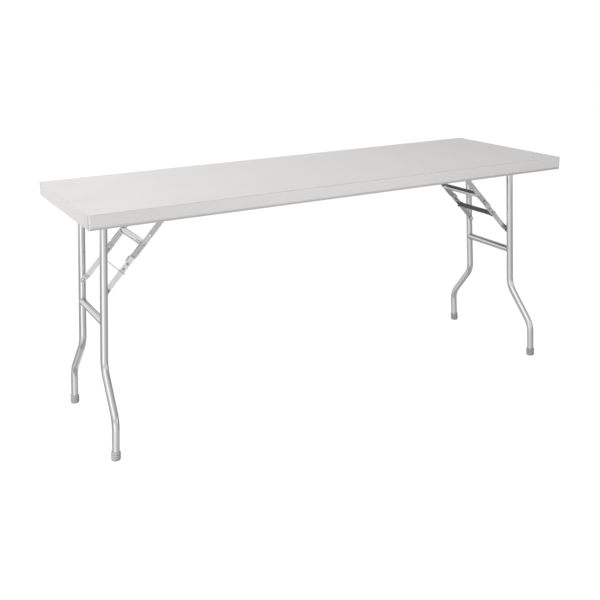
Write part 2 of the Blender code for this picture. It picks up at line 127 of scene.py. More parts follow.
# ===================================================================== node helpers
class Nodes:
    """Small helper that adds and links shader nodes."""

    def __init__(self, tree):
        self.t = tree

    def add(self, kind, **props):
        n = self.t.nodes.new(kind)
        for k, v in props.items():
            setattr(n, k, v)
        return n

    def put(self, socket, value):
        if isinstance(value, bpy.types.NodeSocket):
            self.t.links.new(value, socket)
        elif value is not None:
            socket.default_value = value

    def math(self, op, a, b=None, c=None, clamp=False):
        n = self.add("ShaderNodeMath", operation=op, use_clamp=clamp)
        for i, x in enumerate((a, b, c)):
            self.put(n.inputs[i], x)
        return n.outputs[0]

    def vmath(self, op, a, b=None):
        n = self.add("ShaderNodeVectorMath", operation=op)
        self.put(n.inputs[0], a)
        self.put(n.inputs[1], b)
        return n.outputs["Value" if op in ("LENGTH", "DOT_PRODUCT", "DISTANCE") else "Vector"]

    def ramp(self, value, a, b, to0=0.0, to1=1.0, smooth=True):
        n = self.add("ShaderNodeMapRange", interpolation_type="SMOOTHSTEP" if smooth else "LINEAR")
        self.put(n.inputs[0], value)
        for i, x in zip((1, 2, 3, 4), (a, b, to0, to1)):
            n.inputs[i].default_value = x
        return n.outputs[0]

    def noise(self, vec, scale, detail=2.0, rough=0.5, distort=0.0):
        n = self.add("ShaderNodeTexNoise", noise_dimensions="3D")
        self.put(n.inputs["Vector"], vec)
        n.inputs["Scale"].default_value = scale
        n.inputs["Detail"].default_value = detail
        n.inputs["Roughness"].default_value = rough
        n.inputs["Distortion"].default_value = distort
        return n.outputs["Fac"]

    def cells(self, vec, scale, out="Color"):
        n = self.add("ShaderNodeTexVoronoi", feature="F1")
        self.put(n.inputs["Vector"], vec)
        n.inputs["Scale"].default_value = scale
        return n.outputs[out]

    def mix(self, fac, a, b):
        """Blend of two values."""
        n = self.add("ShaderNodeMix", data_type="FLOAT")
        self.put(n.inputs[0], fac)
        self.put(n.inputs[2], a)
        self.put(n.inputs[3], b)
        return n.outputs[0]

    def mixc(self, fac, a, b):
        n = self.add("ShaderNodeMix", data_type="RGBA")
        self.put(n.inputs[0], fac)
        self.put(n.inputs[6], a)
        self.put(n.inputs[7], b)
        return n.outputs[2]

    def tint(self, colour, value):
        """colour times a grey value."""
        n = self.add("ShaderNodeVectorMath", operation="SCALE")
        self.put(n.inputs[0], colour)
        self.put(n.inputs["Scale"], value)
        return n.outputs[0]


def new_material(name):
    m = bpy.data.materials.new(name)
    m.use_nodes = True
    p = m.node_tree.nodes["Principled BSDF"]
    return m, Nodes(m.node_tree), p


def grain_coords(n, local=True):
    if local:
        a = n.add("ShaderNodeAttribute", attribute_name="grain")
        return a.outputs["Vector"]
    return n.add("ShaderNodeTexCoord").outputs["Object"]


def stretched(n, co, along, across):
    m = n.add("ShaderNodeMapping", vector_type="POINT")
    n.put(m.inputs["Vector"], co)
    m.inputs["Scale"].default_value = (along, across, across)
    return m.outputs["Vector"]


def finish_metal(n, p, colour, level, rough, height, bump, distance=0.0002):
    """Ties the colour, roughness and height of a metal to its shader."""
    n.put(p.inputs["Base Color"], n.tint(colour, level))
    n.put(p.inputs["Roughness"], n.math("MAXIMUM", n.math("MINIMUM", rough, 0.9), 0.06))
    p.inputs["Metallic"].default_value = 1.0
    b = n.add("ShaderNodeBump")
    b.inputs["Strength"].default_value = bump
    b.inputs["Distance"].default_value = distance
    n.put(b.inputs["Height"], height)
    n.put(p.inputs["Normal"], b.outputs["Normal"])


def total(n, *terms):
    out = terms[0]
    for x in terms[1:]:
        out = n.math("ADD", out, x)
    return out


def centred(n, value, amount):
    """value - 0.5, times amount."""
    return n.math("MULTIPLY", n.math("SUBTRACT", value, 0.5), amount)


def brushed(name, base, rough, local=True, along=3.0, across=420.0, colour_var=0.05, cloud=0.04,
            rough_var=0.07, bump=0.12, scratch=0.06, tint82=0.8, extra=None):
    """Metal with a drawn or brushed grain, soft clouding and a few hairline scratches."""
    m, n, p = new_material(name)
    co = grain_coords(n, local)
    fine = n.noise(stretched(n, co, along, across), 1.0, 3.0, 0.6)
    broad = n.noise(stretched(n, co, along * 0.35, across * 0.16), 1.0, 2.0, 0.5)
    fog = n.noise(co, 7.0, 2.0, 0.5, 0.3)
    line = n.noise(stretched(n, co, 5.0, 95.0), 1.0, 0.0)
    hair = n.ramp(n.math("ABSOLUTE", n.math("SUBTRACT", line, 0.5)), 0.0, 0.0045, 1.0, 0.0)
    where = n.ramp(n.noise(co, 13.0, 1.0), 0.52, 0.66)
    hair = n.math("MULTIPLY", hair, where)
    level = total(n, centred(n, fine, colour_var), centred(n, broad, colour_var * 0.8),
                  centred(n, fog, cloud * 2.0), n.math("MULTIPLY", hair, -scratch), 1.0)
    r = total(n, centred(n, fine, rough_var), centred(n, fog, rough_var * 1.4),
              n.math("MULTIPLY", hair, 0.10), rough)
    height = total(n, fine, n.math("MULTIPLY", hair, -0.6))
    if extra:
        level, r, height = extra(n, co, level, r, height)
    finish_metal(n, p, (*base, ), level, r, height, bump)
    p.inputs["Specular Tint"].default_value = (tint82, tint82, tint82, 1.0)
    return m


# ===================================================================== materials
def top_wear_and_shade(n, co, level, r, height):
    """Slight rubbing along the top's edges and faint wipe marks on its middle, with painted shade: a dark line at the
    hem crease, darker ground vertical corners (also rougher) and a darker band on the end faces next to the corners.
    """
    sep = n.add("ShaderNodeSeparateXYZ")
    n.put(sep.inputs[0], co)
    x, y, z = (sep.outputs[i] for i in range(3))
    ex = n.math("SUBTRACT", TOP_LENGTH / 2, n.math("ABSOLUTE", x))
    ey = n.math("SUBTRACT", TOP_DEPTH / 2, n.math("ABSOLUTE", y))
    near = n.math("MINIMUM", ex, ey)
    rim = n.math("MULTIPLY", n.ramp(near, 0.0, 0.0045, 1.0, 0.0), n.ramp(z, TOP_HEIGHT - 0.004, TOP_HEIGHT - 0.001))
    worn = n.math("MULTIPLY", rim, n.ramp(n.noise(co, 30.0, 3.0), 0.42, 0.60))
    wipe = n.noise(stretched(n, co, 1.1, 7.0), 1.0, 2.0, 0.5, 0.8)
    # painted shade: a dark line along the hem crease on the long sides
    crease_shade = n.math("MULTIPLY",
                  n.ramp(n.math("ABSOLUTE", n.math("SUBTRACT", z, TOP_HEIGHT - APRON + 0.0084)), 0.0, 0.0007, 1.0, 0.0),
                  n.ramp(ey, 0.0, 0.002, 1.0, 0.0))
    # painted shade: the vertical corners made darker, dimming their highlight; also rougher, as ground
    bend = n.math("MULTIPLY", n.ramp(ex, 0.0035, 0.0060, 1.0, 0.0), n.ramp(ey, 0.0035, 0.0060, 1.0, 0.0))
    # painted shade: a darker band on the end faces next to the corners
    end = n.math("MULTIPLY", n.ramp(ex, 0.0, 0.0020, 1.0, 0.0), n.ramp(ey, 0.006, 0.060, 1.0, 0.0))
    level = total(n, level, n.math("MULTIPLY", worn, 0.05), centred(n, wipe, 0.022),
                  n.math("MULTIPLY", crease_shade, -0.16), n.math("MULTIPLY", bend, -0.12), n.math("MULTIPLY", end, -0.06))
    r = total(n, r, n.math("MULTIPLY", worn, -0.08), centred(n, wipe, 0.05), n.math("MULTIPLY", bend, 0.12))
    return level, r, height


def weld_marks(across):
    """Rows of spot welds along the flanges of a channel, across from its middle line."""
    def add(n, co, level, r, height):
        sep = n.add("ShaderNodeSeparateXYZ")
        n.put(sep.inputs[0], co)
        t, a = sep.outputs[0], sep.outputs[1]
        dt = n.math("SUBTRACT", n.math("PINGPONG", t, 0.030), 0.015)
        da = n.math("SUBTRACT", n.math("ABSOLUTE", a), across)
        d = n.math("SQRT", n.math("ADD", n.math("MULTIPLY", dt, dt), n.math("MULTIPLY", da, da)))
        spot = n.ramp(d, 0.0022, 0.0028, 1.0, 0.0)
        halo = n.ramp(d, 0.0024, 0.0055, 1.0, 0.0)
        flakes = n.cells(co, 140.0)
        grey = n.add("ShaderNodeSeparateColor")
        n.put(grey.inputs[0], flakes)
        level = total(n, level, n.math("MULTIPLY", halo, -0.10), n.math("MULTIPLY", spot, -0.12),
                      centred(n, grey.outputs[0], 0.10))
        r = total(n, r, centred(n, grey.outputs[1], 0.10), n.math("MULTIPLY", spot, 0.10))
        height = n.math("SUBTRACT", height, n.math("MULTIPLY", spot, 3.0))
        return level, r, height
    return add


def arm_rings_and_shade(spots, shade_bands=()):
    """Darker rings round the rivets and holes of an arm, painted shade at their edges, and bands of painted shade
    across it.

    spots are (s, inner, outer), the bands of painted shade are (s0, s1, soft, depth); a negative depth paints a lighter
    band, a painted highlight.
    """
    def add(n, co, level, r, height):
        sep = n.add("ShaderNodeSeparateXYZ")
        n.put(sep.inputs[0], co)
        s, h = sep.outputs[0], sep.outputs[1]
        # painted shade: darker rings round the rivets and at the hole edges
        for at, r0, r1 in spots:
            ds = n.math("SUBTRACT", s, at)
            d = n.math("SQRT", n.math("ADD", n.math("MULTIPLY", ds, ds), n.math("MULTIPLY", h, h)))
            ringed = n.math("MULTIPLY", n.ramp(d, r0, (r0 + r1) / 2), n.ramp(d, (r0 + r1) / 2, r1, 1.0, 0.0))
            level = total(n, level, n.math("MULTIPLY", ringed, -0.30))
            r = total(n, r, n.math("MULTIPLY", ringed, 0.08))
        uneven = n.ramp(n.noise(co, 210.0, 3.0, 0.6), 0.30, 0.62, 0.72, 1.0)
        # painted shade: bands where the leg, the tail's gap and the top darken the arm; a negative depth paints a
        # lighter band, a painted highlight
        for s0, s1, soft, darkening in shade_bands:
            shade_band = n.math("MULTIPLY", n.ramp(s, s0 - soft, s0 + soft), n.ramp(s, s1 - soft, s1 + soft, 1.0, 0.0))
            shade_band = n.math("MULTIPLY", shade_band, uneven)
            level = total(n, level, n.math("MULTIPLY", shade_band, -darkening))
            r = total(n, r, n.math("MULTIPLY", shade_band, 0.12))
        edge = n.ramp(n.math("ABSOLUTE", h), ARM_HALF - 0.0010, ARM_HALF - 0.0001)
        chip = n.math("MULTIPLY", edge, n.ramp(n.noise(co, 160.0, 2.0), 0.45, 0.62))
        level = total(n, level, n.math("MULTIPLY", chip, 0.10))
        r = total(n, r, n.math("MULTIPLY", chip, -0.08))
        return level, r, height
    return add


MAT = {}
MAT["top"] = brushed("satin_sheet", (0.797, 0.782, 0.768), 0.36, local=False, along=2.2, across=520.0,
                     colour_var=0.05, cloud=0.022, rough_var=0.06, bump=0.10, scratch=0.035, extra=top_wear_and_shade)
MAT["tube"] = brushed("drawn_tube", (0.650, 0.645, 0.648), 0.16, along=4.0, across=600.0,
                      colour_var=0.05, cloud=0.05, rough_var=0.07, bump=0.03, scratch=0.07)


def stretcher_shade(inner, outer, under):
    """Stretcher: painted shade along the inner side of its crown, a slight painted highlight on its outer side, painted
    shade on its underside.
    """
    def add(n, co, level, r, height):
        sep = n.add("ShaderNodeSeparateXYZ")
        n.put(sep.inputs[0], n.add("ShaderNodeTexCoord").outputs["Object"])
        x, z = n.math("ABSOLUTE", sep.outputs[0]), sep.outputs[2]
        crown_shade = n.math("MULTIPLY", n.ramp(x, STRETCHER_X - 0.0008, STRETCHER_X + 0.0050, 1.0, 0.0),
                      n.ramp(z, STRETCHER_Z + 0.0015, STRETCHER_Z + 0.0060))
        crown_sheen = n.math("MULTIPLY", n.ramp(x, STRETCHER_X + 0.0045, STRETCHER_X + 0.0080),
                       n.ramp(z, STRETCHER_Z + 0.0045, STRETCHER_Z + 0.0075))
        level = total(n, level, n.math("MULTIPLY", crown_shade, -inner), n.math("MULTIPLY", crown_sheen, outer),
                      n.math("MULTIPLY", n.ramp(z, STRETCHER_Z - 0.0055, STRETCHER_Z - 0.0005, 1.0, 0.0), -under))
        return level, r, height
    return add


# The right stretcher is a darker copy of the same tube, painted shade.
for side, lit_tone, marks in (("left", 0.645, stretcher_shade(0.45, 0.02, 0.0)), ("right", 0.605, stretcher_shade(0.0, 0.0, 0.28))):
    MAT["stretcher_" + side] = brushed("drawn_tube_" + side, (lit_tone, lit_tone * 0.995, lit_tone), 0.16, along=4.0, across=600.0,
                                       colour_var=0.05, cloud=0.05, rough_var=0.07, bump=0.03, scratch=0.07, extra=marks)
# Lower arms: one copy of the bar per corner, its tone set lighter or darker for how that corner is lit, painted shade;
# their bands are painted shade near the leg, at the upper arm's tail and below the knee.
for corner, lit_tone, shade_bands in (("left_front", 0.80, [(-0.02, 0.0350, 0.0030, 0.74), (TAIL_S - 0.0042, TAIL_S - 0.0002, 0.0006, 0.50)]),
                      ("right_front", 0.73, [(-0.02, 0.0270, 0.0045, 0.66), (TAIL_S - 0.0042, TAIL_S - 0.0002, 0.0006, 0.50)]),
                      ("left_rear", 0.82, [(TAIL_S - 0.0030, TAIL_S + 0.0400, 0.0020, 0.30)]),
                      ("right_rear", 0.58, [(TAIL_S - 0.0030, TAIL_S + 0.0400, 0.0020, 0.30)])):
    MAT["arm_low_" + corner] = brushed("flat_bar_lit_copy_" + corner, (lit_tone, lit_tone * 0.995, lit_tone * 0.995), 0.27, along=6.0, across=480.0,
                                       colour_var=0.07, cloud=0.07, rough_var=0.10, bump=0.14, scratch=0.10,
                                       extra=arm_rings_and_shade([(0.0, 0.0060, 0.0092), (KNEE_S, 0.0060, 0.0100)]
                                                       + [(s, 0.0040, 0.0066) for s in RIVET_S], shade_bands))
# Upper arms: a darker grey than the lower arms, painted shade; the lighter band past the knee is a painted highlight,
# the dark band at the tail painted shade.
MAT["arm_up"] = brushed("flat_bar_shaded_grey", (0.54, 0.54, 0.54), 0.32, along=6.0, across=480.0,
                        colour_var=0.08, cloud=0.08, rough_var=0.10, bump=0.16, scratch=0.10,
                        extra=arm_rings_and_shade([(BRACE_LEN, 0.0050, 0.0090), (KNEE_S, 0.0058, 0.0080), (0.2530, 0.0028, 0.0052)],
                                        [(KNEE_S + 0.004, KNEE_S + 0.030, 0.006, -0.22), (TAIL_S - 0.01, TAIL_S + 0.0022, 0.0006, 0.25)]))
MAT["lock"] = brushed("lock_plate", (0.52, 0.52, 0.52), 0.35, along=8.0, across=420.0,
                      colour_var=0.08, cloud=0.08, rough_var=0.10, bump=0.14, scratch=0.12)
MAT["rail_hinge"] = brushed("zinc_channel_wide", (0.60, 0.61, 0.62), 0.42, along=5.0, across=300.0,
                            colour_var=0.05, cloud=0.10, rough_var=0.10, bump=0.10,
                            extra=weld_marks(0.024 + 0.0065))
MAT["rail_brace"] = brushed("zinc_channel_narrow", (0.60, 0.61, 0.62), 0.42, along=5.0, across=300.0,
                            colour_var=0.05, cloud=0.10, rough_var=0.10, bump=0.10,
                            extra=weld_marks(0.016 + 0.0050))
MAT["rail_stiff"] = brushed("zinc_channel_long", (0.60, 0.61, 0.62), 0.42, along=5.0, across=300.0,
                            colour_var=0.05, cloud=0.10, rough_var=0.10, bump=0.10,
                            extra=weld_marks(0.020 + 0.0060))
MAT["bracket"] = brushed("pressed_bracket", (0.58, 0.585, 0.59), 0.38, along=40.0, across=260.0,
                         colour_var=0.07, cloud=0.10, rough_var=0.10, bump=0.12)
MAT["rivet"] = brushed("rivet_steel", (0.34, 0.34, 0.345), 0.30, along=120.0, across=260.0,
                       colour_var=0.10, cloud=0.12, rough_var=0.14, bump=0.14, scratch=0.12)
MAT["rivet_arm"] = brushed("rivet_arm", (0.70, 0.70, 0.70), 0.34, along=120.0, across=260.0,
                           colour_var=0.08, cloud=0.10, rough_var=0.12, bump=0.12, scratch=0.12)
# Left rear leg rivet: a darker, rougher copy of rivet_arm, painted shade that dims its highlight.
MAT["rivet_dimmed_copy"] = brushed("rivet_dimmed_copy", (0.66, 0.66, 0.66), 0.48, along=120.0, across=260.0,
                            colour_var=0.08, cloud=0.10, rough_var=0.12, bump=0.12, scratch=0.12)
MAT["rivet_bright"] = brushed("rivet_bright", (0.60, 0.60, 0.60), 0.30, along=120.0, across=260.0,
                              colour_var=0.08, cloud=0.10, rough_var=0.14, bump=0.12, scratch=0.12)


def make_weld():
    m, n, p = new_material("weld_bead")
    co = grain_coords(n)
    sep = n.add("ShaderNodeSeparateXYZ")
    n.put(sep.inputs[0], co)
    wave = n.math("SINE", n.math("MULTIPLY", sep.outputs[0], 2 * math.pi / 0.0016))
    fog = n.noise(co, 260.0, 3.0, 0.6)
    level = total(n, centred(n, fog, 0.25), n.math("MULTIPLY", wave, 0.05), 1.0)
    r = total(n, centred(n, fog, 0.22), 0.42)
    height = n.math("ADD", n.math("MULTIPLY", wave, 0.5), fog)
    straw = n.mixc(n.ramp(fog, 0.40, 0.65), (0.52, 0.515, 0.50, 1.0), (0.46, 0.44, 0.405, 1.0))
    finish_metal(n, p, straw, level, r, height, 0.5, 0.0003)
    return m


def make_plastic(name, lit_tone):
    m, n, p = new_material(name)
    co = n.add("ShaderNodeTexCoord").outputs["Object"]
    sep = n.add("ShaderNodeSeparateXYZ")
    n.put(sep.inputs[0], co)
    skin = n.noise(co, 1500.0, 2.0, 0.5)
    fog = n.noise(co, 120.0, 3.0, 0.55)
    low = n.math("MULTIPLY", n.ramp(sep.outputs[2], 0.0015, 0.0075, 1.0, 0.0), n.ramp(fog, 0.35, 0.62))
    level = total(n, centred(n, fog, 0.14), centred(n, skin, 0.05), n.math("MULTIPLY", low, -0.22), 1.0)
    n.put(p.inputs["Base Color"], n.tint((lit_tone, lit_tone, lit_tone * 1.012), level))
    n.put(p.inputs["Roughness"], total(n, centred(n, fog, 0.16), n.math("MULTIPLY", low, 0.12), 0.50))
    b = n.add("ShaderNodeBump")
    b.inputs["Strength"].default_value = 0.25
    b.inputs["Distance"].default_value = 0.0002
    n.put(b.inputs["Height"], n.math("ADD", skin, fog))
    n.put(p.inputs["Normal"], b.outputs["Normal"])
    p.inputs["Specular IOR Level"].default_value = 0.4
    return m


MAT["weld"] = make_weld()
# One copy of the foot plastic per corner, its tone set lighter or darker for how that corner is lit: painted shade.
for corner, lit_tone in (("left_front", 0.350), ("left_rear", 0.325), ("right_front", 0.255), ("right_rear", 0.285)):
    MAT["foot_" + corner] = make_plastic("foot_rubber_lit_copy_" + corner, lit_tone)


# ===================================================================== mesh helpers
def fresh():
    bm = bmesh.new()
    return bm, bm.verts.layers.float_vector.new("grain")


def vert(bm, lay, co, grain):
    v = bm.verts.new(co)
    v[lay] = grain
    return v


def outward(bm):
    """Turns every closed shell so that its faces look out."""
    bmesh.ops.recalc_face_normals(bm, faces=bm.faces)
    seen = set()
    for first in bm.faces:
        if first in seen:
            continue
        seen.add(first)
        shell, stack = [], [first]
        while stack:
            f = stack.pop()
            shell.append(f)
            for e in f.edges:
                for g in e.link_faces:
                    if g not in seen:
                        seen.add(g)
                        stack.append(g)
        size = 0.0
        for f in shell:
            vs = list(f.verts)
            for a, b in zip(vs[1:], vs[2:]):
                size += vs[0].co.dot(a.co.cross(b.co))
        if size < 0.0:
            bmesh.ops.reverse_faces(bm, faces=shell)


def to_object(name, bm, mat, angle=50.0):
    outward(bm)
    me = bpy.data.meshes.new(name)
    bm.to_mesh(me)
    bm.free()
    me.shade_smooth()
    me.set_sharp_from_angle(angle=math.radians(angle))
    ob = bpy.data.objects.new(name, me)
    bpy.context.scene.collection.objects.link(ob)
    if mat:
        me.materials.append(mat)
    return ob


def mirror(bm, sx, sy):
    for v in bm.verts:
        v.co = Vector((v.co.x * sx, v.co.y * sy, v.co.z))
    return bm


def part(name, bm, mat, node=None, body=None, sx=1, sy=1, angle=50.0):
    """Finished piece: mirrored into its corner, riding on its body."""
    ob = to_object(name, mirror(bm, sx, sy), MAT[mat], angle)
    if node:
        body = frame["nodes"][node]["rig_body"]
        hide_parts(node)
    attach(ob, body)
    return ob


def area2(loop):
    return sum(a[0] * b[1] - b[0] * a[1] for a, b in zip(loop, loop[1:] + loop[:1]))


def inset(loop, d):
    """Loop moved d towards its left side."""
    out = []
    n = len(loop)
    for i in range(n):
        p0, p1, p2 = Vector(loop[i - 1]), Vector(loop[i]), Vector(loop[(i + 1) % n])
        a, b = (p1 - p0).normalized(), (p2 - p1).normalized()
        na, nb = Vector((-a.y, a.x)), Vector((-b.y, b.x))
        k = 1.0 + na.dot(nb)
        m = (na + nb) / max(k, 0.35)
        out.append(tuple(p1 + m * d))
    return out


def fill_cap(loops):
    """Triangles of a flat area between loops, as indices into all their points."""
    tmp = bmesh.new()
    edges = []
    for loop in loops:
        vs = [tmp.verts.new((a, b, 0.0)) for a, b in loop]
        edges += [tmp.edges.new((vs[i], vs[(i + 1) % len(vs)])) for i in range(len(vs))]
    tmp.verts.index_update()
    bmesh.ops.triangle_fill(tmp, use_beauty=True, use_dissolve=False, edges=edges)
    tris = [[v.index for v in f.verts] for f in tmp.faces]
    tmp.free()
    return tris


def plate(outline, holes, t0, t1, place, b=0.0004, cuts=(), warp=None, support=0.0005):
    """Flat stamped shape between t0 and t1 with rounded edges; cuts add bend lines at a."""
    loops = [outline if area2(outline) > 0 else outline[::-1]]
    loops += [h if area2(h) < 0 else h[::-1] for h in holes]
    thick = t1 - t0
    q = 1.0 - math.sqrt(0.5)
    levels = [(b + support, 0.0), (b, 0.0), (b * q, b * q), (0.0, b),
              (0.0, thick - b), (b * q, thick - b * q), (b, thick), (b + support, thick)]
    bm, lay = fresh()
    rings = []
    for d, t in levels:
        rings.append([[vert(bm, lay, (p[0], p[1], t0 + t), (p[0], p[1], t0 + t))
                       for p in (inset(loop, d) if d else loop)] for loop in loops])
    for ra, rb in zip(rings, rings[1:]):
        for la, lb in zip(ra, rb):
            for i in range(len(la)):
                j = (i + 1) % len(la)
                bm.faces.new((la[i], la[j], lb[j], lb[i]))
    tris = fill_cap([inset(loop, levels[0][0]) for loop in loops])
    for k in (0, -1):
        flat = [v for ring in rings[k] for v in ring]
        for t in tris:
            bm.faces.new([flat[i] for i in t])
    for c in cuts:
        bmesh.ops.bisect_plane(bm, geom=bm.verts[:] + bm.edges[:] + bm.faces[:], dist=1e-7,
                               plane_co=(c, 0, 0), plane_no=(1, 0, 0))
    for v in bm.verts:
        a, bb, t = v.co
        v[lay] = (a, bb, t)
        if warp:
            t += warp(a)
        v.co = place(a, bb, t)
    return bm


def fillet(points, radii, n=5):
    """Polygon with rounded corners."""
    out = []
    m = len(points)
    for i in range(m):
        r = radii[i] if isinstance(radii, (list, tuple)) else radii
        p0, p, p2 = Vector(points[i - 1]), Vector(points[i]), Vector(points[(i + 1) % m])
        a, b = (p0 - p).normalized(), (p2 - p).normalized()
        cosang = max(-1.0, min(1.0, a.dot(b)))
        half = math.acos(cosang) / 2
        if r < 1e-7 or abs(half - math.pi / 2) < 1e-4:
            out.append(tuple(p))
            continue
        d = r / math.tan(half)
        c = p + (a + b).normalized() * (r / math.sin(half))
        s0, s1 = p + a * d - c, p + b * d - c
        ang0 = math.atan2(s0.y, s0.x)
        turn = math.atan2(s0.x * s1.y - s0.y * s1.x, s0.dot(s1))
        for k in range(n + 1):
            g = ang0 + turn * k / n
            out.append((c.x + r * math.cos(g), c.y + r * math.sin(g)))
    return out


def arc(cx, cy, r, a0, a1, n):
    return [(cx + r * math.cos(math.radians(a0 + (a1 - a0) * i / n)),
             cy + r * math.sin(math.radians(a0 + (a1 - a0) * i / n))) for i in range(n + 1)]


def lathe(profile, n, place):
    """Solid of revolution from (radius, t) points."""
    bm, lay = fresh()
    rings = []
    for r, t in profile:
        if r < 1e-8:
            rings.append([vert(bm, lay, place(0.0, 0.0, t), (0.0, 0.0, t))])
        else:
            rings.append([])
            for i in range(n):
                a, b = r * math.cos(2 * math.pi * i / n), r * math.sin(2 * math.pi * i / n)
                rings[-1].append(vert(bm, lay, place(a, b, t), (a, b, t)))
    for a, b in zip(rings, rings[1:]):
        for i in range(n):
            j = (i + 1) % n
            if len(a) == 1 and len(b) == 1:
                continue
            if len(a) == 1:
                bm.faces.new((a[0], b[i], b[j]))
            elif len(b) == 1:
                bm.faces.new((a[i], a[j], b[0]))
            else:
                bm.faces.new((a[i], a[j], b[j], b[i]))
    return bm


def along_y(x, z):
    return lambda a, b, t: Vector((x + a, t, z + b))


def skin(rings, bm, lay, closed_ends=False):
    """Joins rings of (point, grain) into a band of quads and returns the vertices."""
    vs = [[vert(bm, lay, p, g) for p, g in ring] for ring in rings]
    n = len(vs[0])
    for a, b in zip(vs, vs[1:]):
        for i in range(n):
            j = (i + 1) % n
            bm.faces.new((a[i], a[j], b[j], b[i]))
    return vs


def tube_solid(outer, inner):
    """Tube wall from outer and inner rings of (point, grain), closed round both mouths."""
    bm, lay = fresh()
    vo, vi = skin(outer, bm, lay), skin(inner, bm, lay)
    n = len(vo[0])
    for k in (0, -1):
        for i in range(n):
            j = (i + 1) % n
            bm.faces.new((vo[k][i], vo[k][j], vi[k][j], vi[k][i]))
    return bm


def merged(*bms):
    """One bmesh from several."""
    bm, _ = fresh()
    for other in bms:
        me = bpy.data.meshes.new("tmp")
        other.to_mesh(me)
        other.free()
        bm.from_mesh(me)
        bpy.data.meshes.remove(me)
    return bm


def fused(name, solids, cutters=()):
    """Union of closed solids, less the cutters, as one bmesh."""
    obs = [to_object(name + "_solid_%d" % i, bm, None) for i, bm in enumerate(list(solids) + list(cutters))]
    for i, o in enumerate(obs[1:], 1):
        mod = obs[0].modifiers.new("b%d" % i, "BOOLEAN")
        mod.operation = "UNION" if i < len(solids) else "DIFFERENCE"
        mod.solver = "EXACT"
        mod.object = o
    bpy.context.view_layer.update()
    ev = obs[0].evaluated_get(bpy.context.evaluated_depsgraph_get())
    me = bpy.data.meshes.new_from_object(ev)
    bm = bmesh.new()
    bm.from_mesh(me)
    bpy.data.meshes.remove(me)
    bmesh.ops.dissolve_degenerate(bm, dist=2e-6, edges=bm.edges)
    for o in obs:
        old = o.data
        bpy.data.objects.remove(o, do_unlink=True)
        bpy.data.meshes.remove(old)
    return bm


# ===================================================================== top
def pan():
    """Pressed sheet top: skin, rounded edge, apron, leaning hem and return lip."""
    hx, hy, h, zb = TOP_LENGTH / 2, TOP_DEPTH / 2, TOP_HEIGHT, TOP_HEIGHT - APRON
    steps = 10
    normals = []
    for q in range(4):
        for i in range(steps + 1):
            normals.append((q, math.radians(90 * q + 90 * i / steps)))

    def hem(a):
        """1 on the long sides, 0 on the short ones."""
        return min(1.0, max(0.0, (abs(math.sin(a)) - 0.55) / 0.40))

    def ringed(rule):
        """Ring of points; rule(k) gives (inset, z) where k is the hem share."""
        out = []
        for q, a in normals:
            d, z = rule(hem(a))
            sxq = 1 if q in (0, 3) else -1
            syq = 1 if q in (0, 1) else -1
            r = max(PLAN_R - d, 0.0006)
            c = (sxq * (hx - d - r), syq * (hy - d - r))
            out.append(((c[0] + r * math.cos(a), c[1] + r * math.sin(a), z),) * 2)
        return out

    flat = lambda d, z: ringed(lambda k: (d, z))
    rings = [flat(0.030, h), flat(EDGE_R + 0.0009, h)]
    for i in range(7):
        a = math.pi / 2 * i / 6
        rings.append(flat(EDGE_R * (1 - math.sin(a)), h - EDGE_R * (1 - math.cos(a))))
    rings += [flat(0.0, h - EDGE_R - 0.0008), flat(0.0, zb + 0.0100), flat(0.0, zb + 0.0092)]
    rings += [ringed(lambda k: (0.0004 * k, zb + 0.0088)), ringed(lambda k: (0.0009 * k, zb + 0.0084)),
              ringed(lambda k: (0.0009 * k, zb + 0.0080)), ringed(lambda k: (0.0007 * k, zb + 0.0076)),
              ringed(lambda k: (0.0008 * k, zb + 0.0070)), ringed(lambda k: (0.0028 * k, zb + 0.0022)),
              ringed(lambda k: (0.0030 * k, zb + 0.0018))]
    for i in range(1, 6):
        a = math.pi / 2 * i / 5
        rings.append(ringed(lambda k: (0.0030 * k + 0.0016 * (1 - math.cos(a)), zb + 0.0016 * (1 - math.sin(a)))))
    rings += [ringed(lambda k: (0.0030 * k + 0.0022, zb)), flat(RETURN_LIP - 0.0005, zb),
              flat(RETURN_LIP, zb + 0.0003), flat(RETURN_LIP, zb + SHEET - 0.0003),
              flat(RETURN_LIP - 0.0003, zb + SHEET)]
    rings += [ringed(lambda k: (0.0030 * k + 0.0032, zb + SHEET)),
              ringed(lambda k: (0.0030 * k + 0.0018, zb + SHEET + 0.0008)),
              ringed(lambda k: (0.0008 * k + SHEET, zb + 0.0080)), flat(SHEET, zb + 0.0096),
              flat(SHEET, h - SHEET - 0.0030), flat(SHEET + 0.0006, h - SHEET - 0.0008),
              flat(SHEET + 0.0022, h - SHEET), flat(0.0300, h - SHEET)]
    bm, lay = fresh()
    vs = skin(rings, bm, lay)
    bm.faces.new(vs[0])
    bm.faces.new(vs[-1])
    return bm


part("worktop_sheet", pan(), "top", node="worktop_pan", angle=38.0)


def hat(half, flange):
    """Section of a channel with bent corners, web down, as (across, z)."""
    t, z0, z1 = RAIL_T, RAIL_Z0, RAIL_Z1
    pts = [(-half - flange, z1), (-half + t, z1), (-half + t, z0 + t), (half - t, z0 + t),
           (half - t, z1), (half + flange, z1), (half + flange, z1 - t), (half, z1 - t),
           (half, z0), (-half, z0), (-half, z1 - t), (-half - flange, z1 - t)]
    return fillet(pts, [0.0004, 0.0022, 0.0008, 0.0008, 0.0022, 0.0004, 0.0004, 0.0007, 0.0023, 0.0023, 0.0007, 0.0004], 4)


# ===================================================================== tubes
SEG = 48


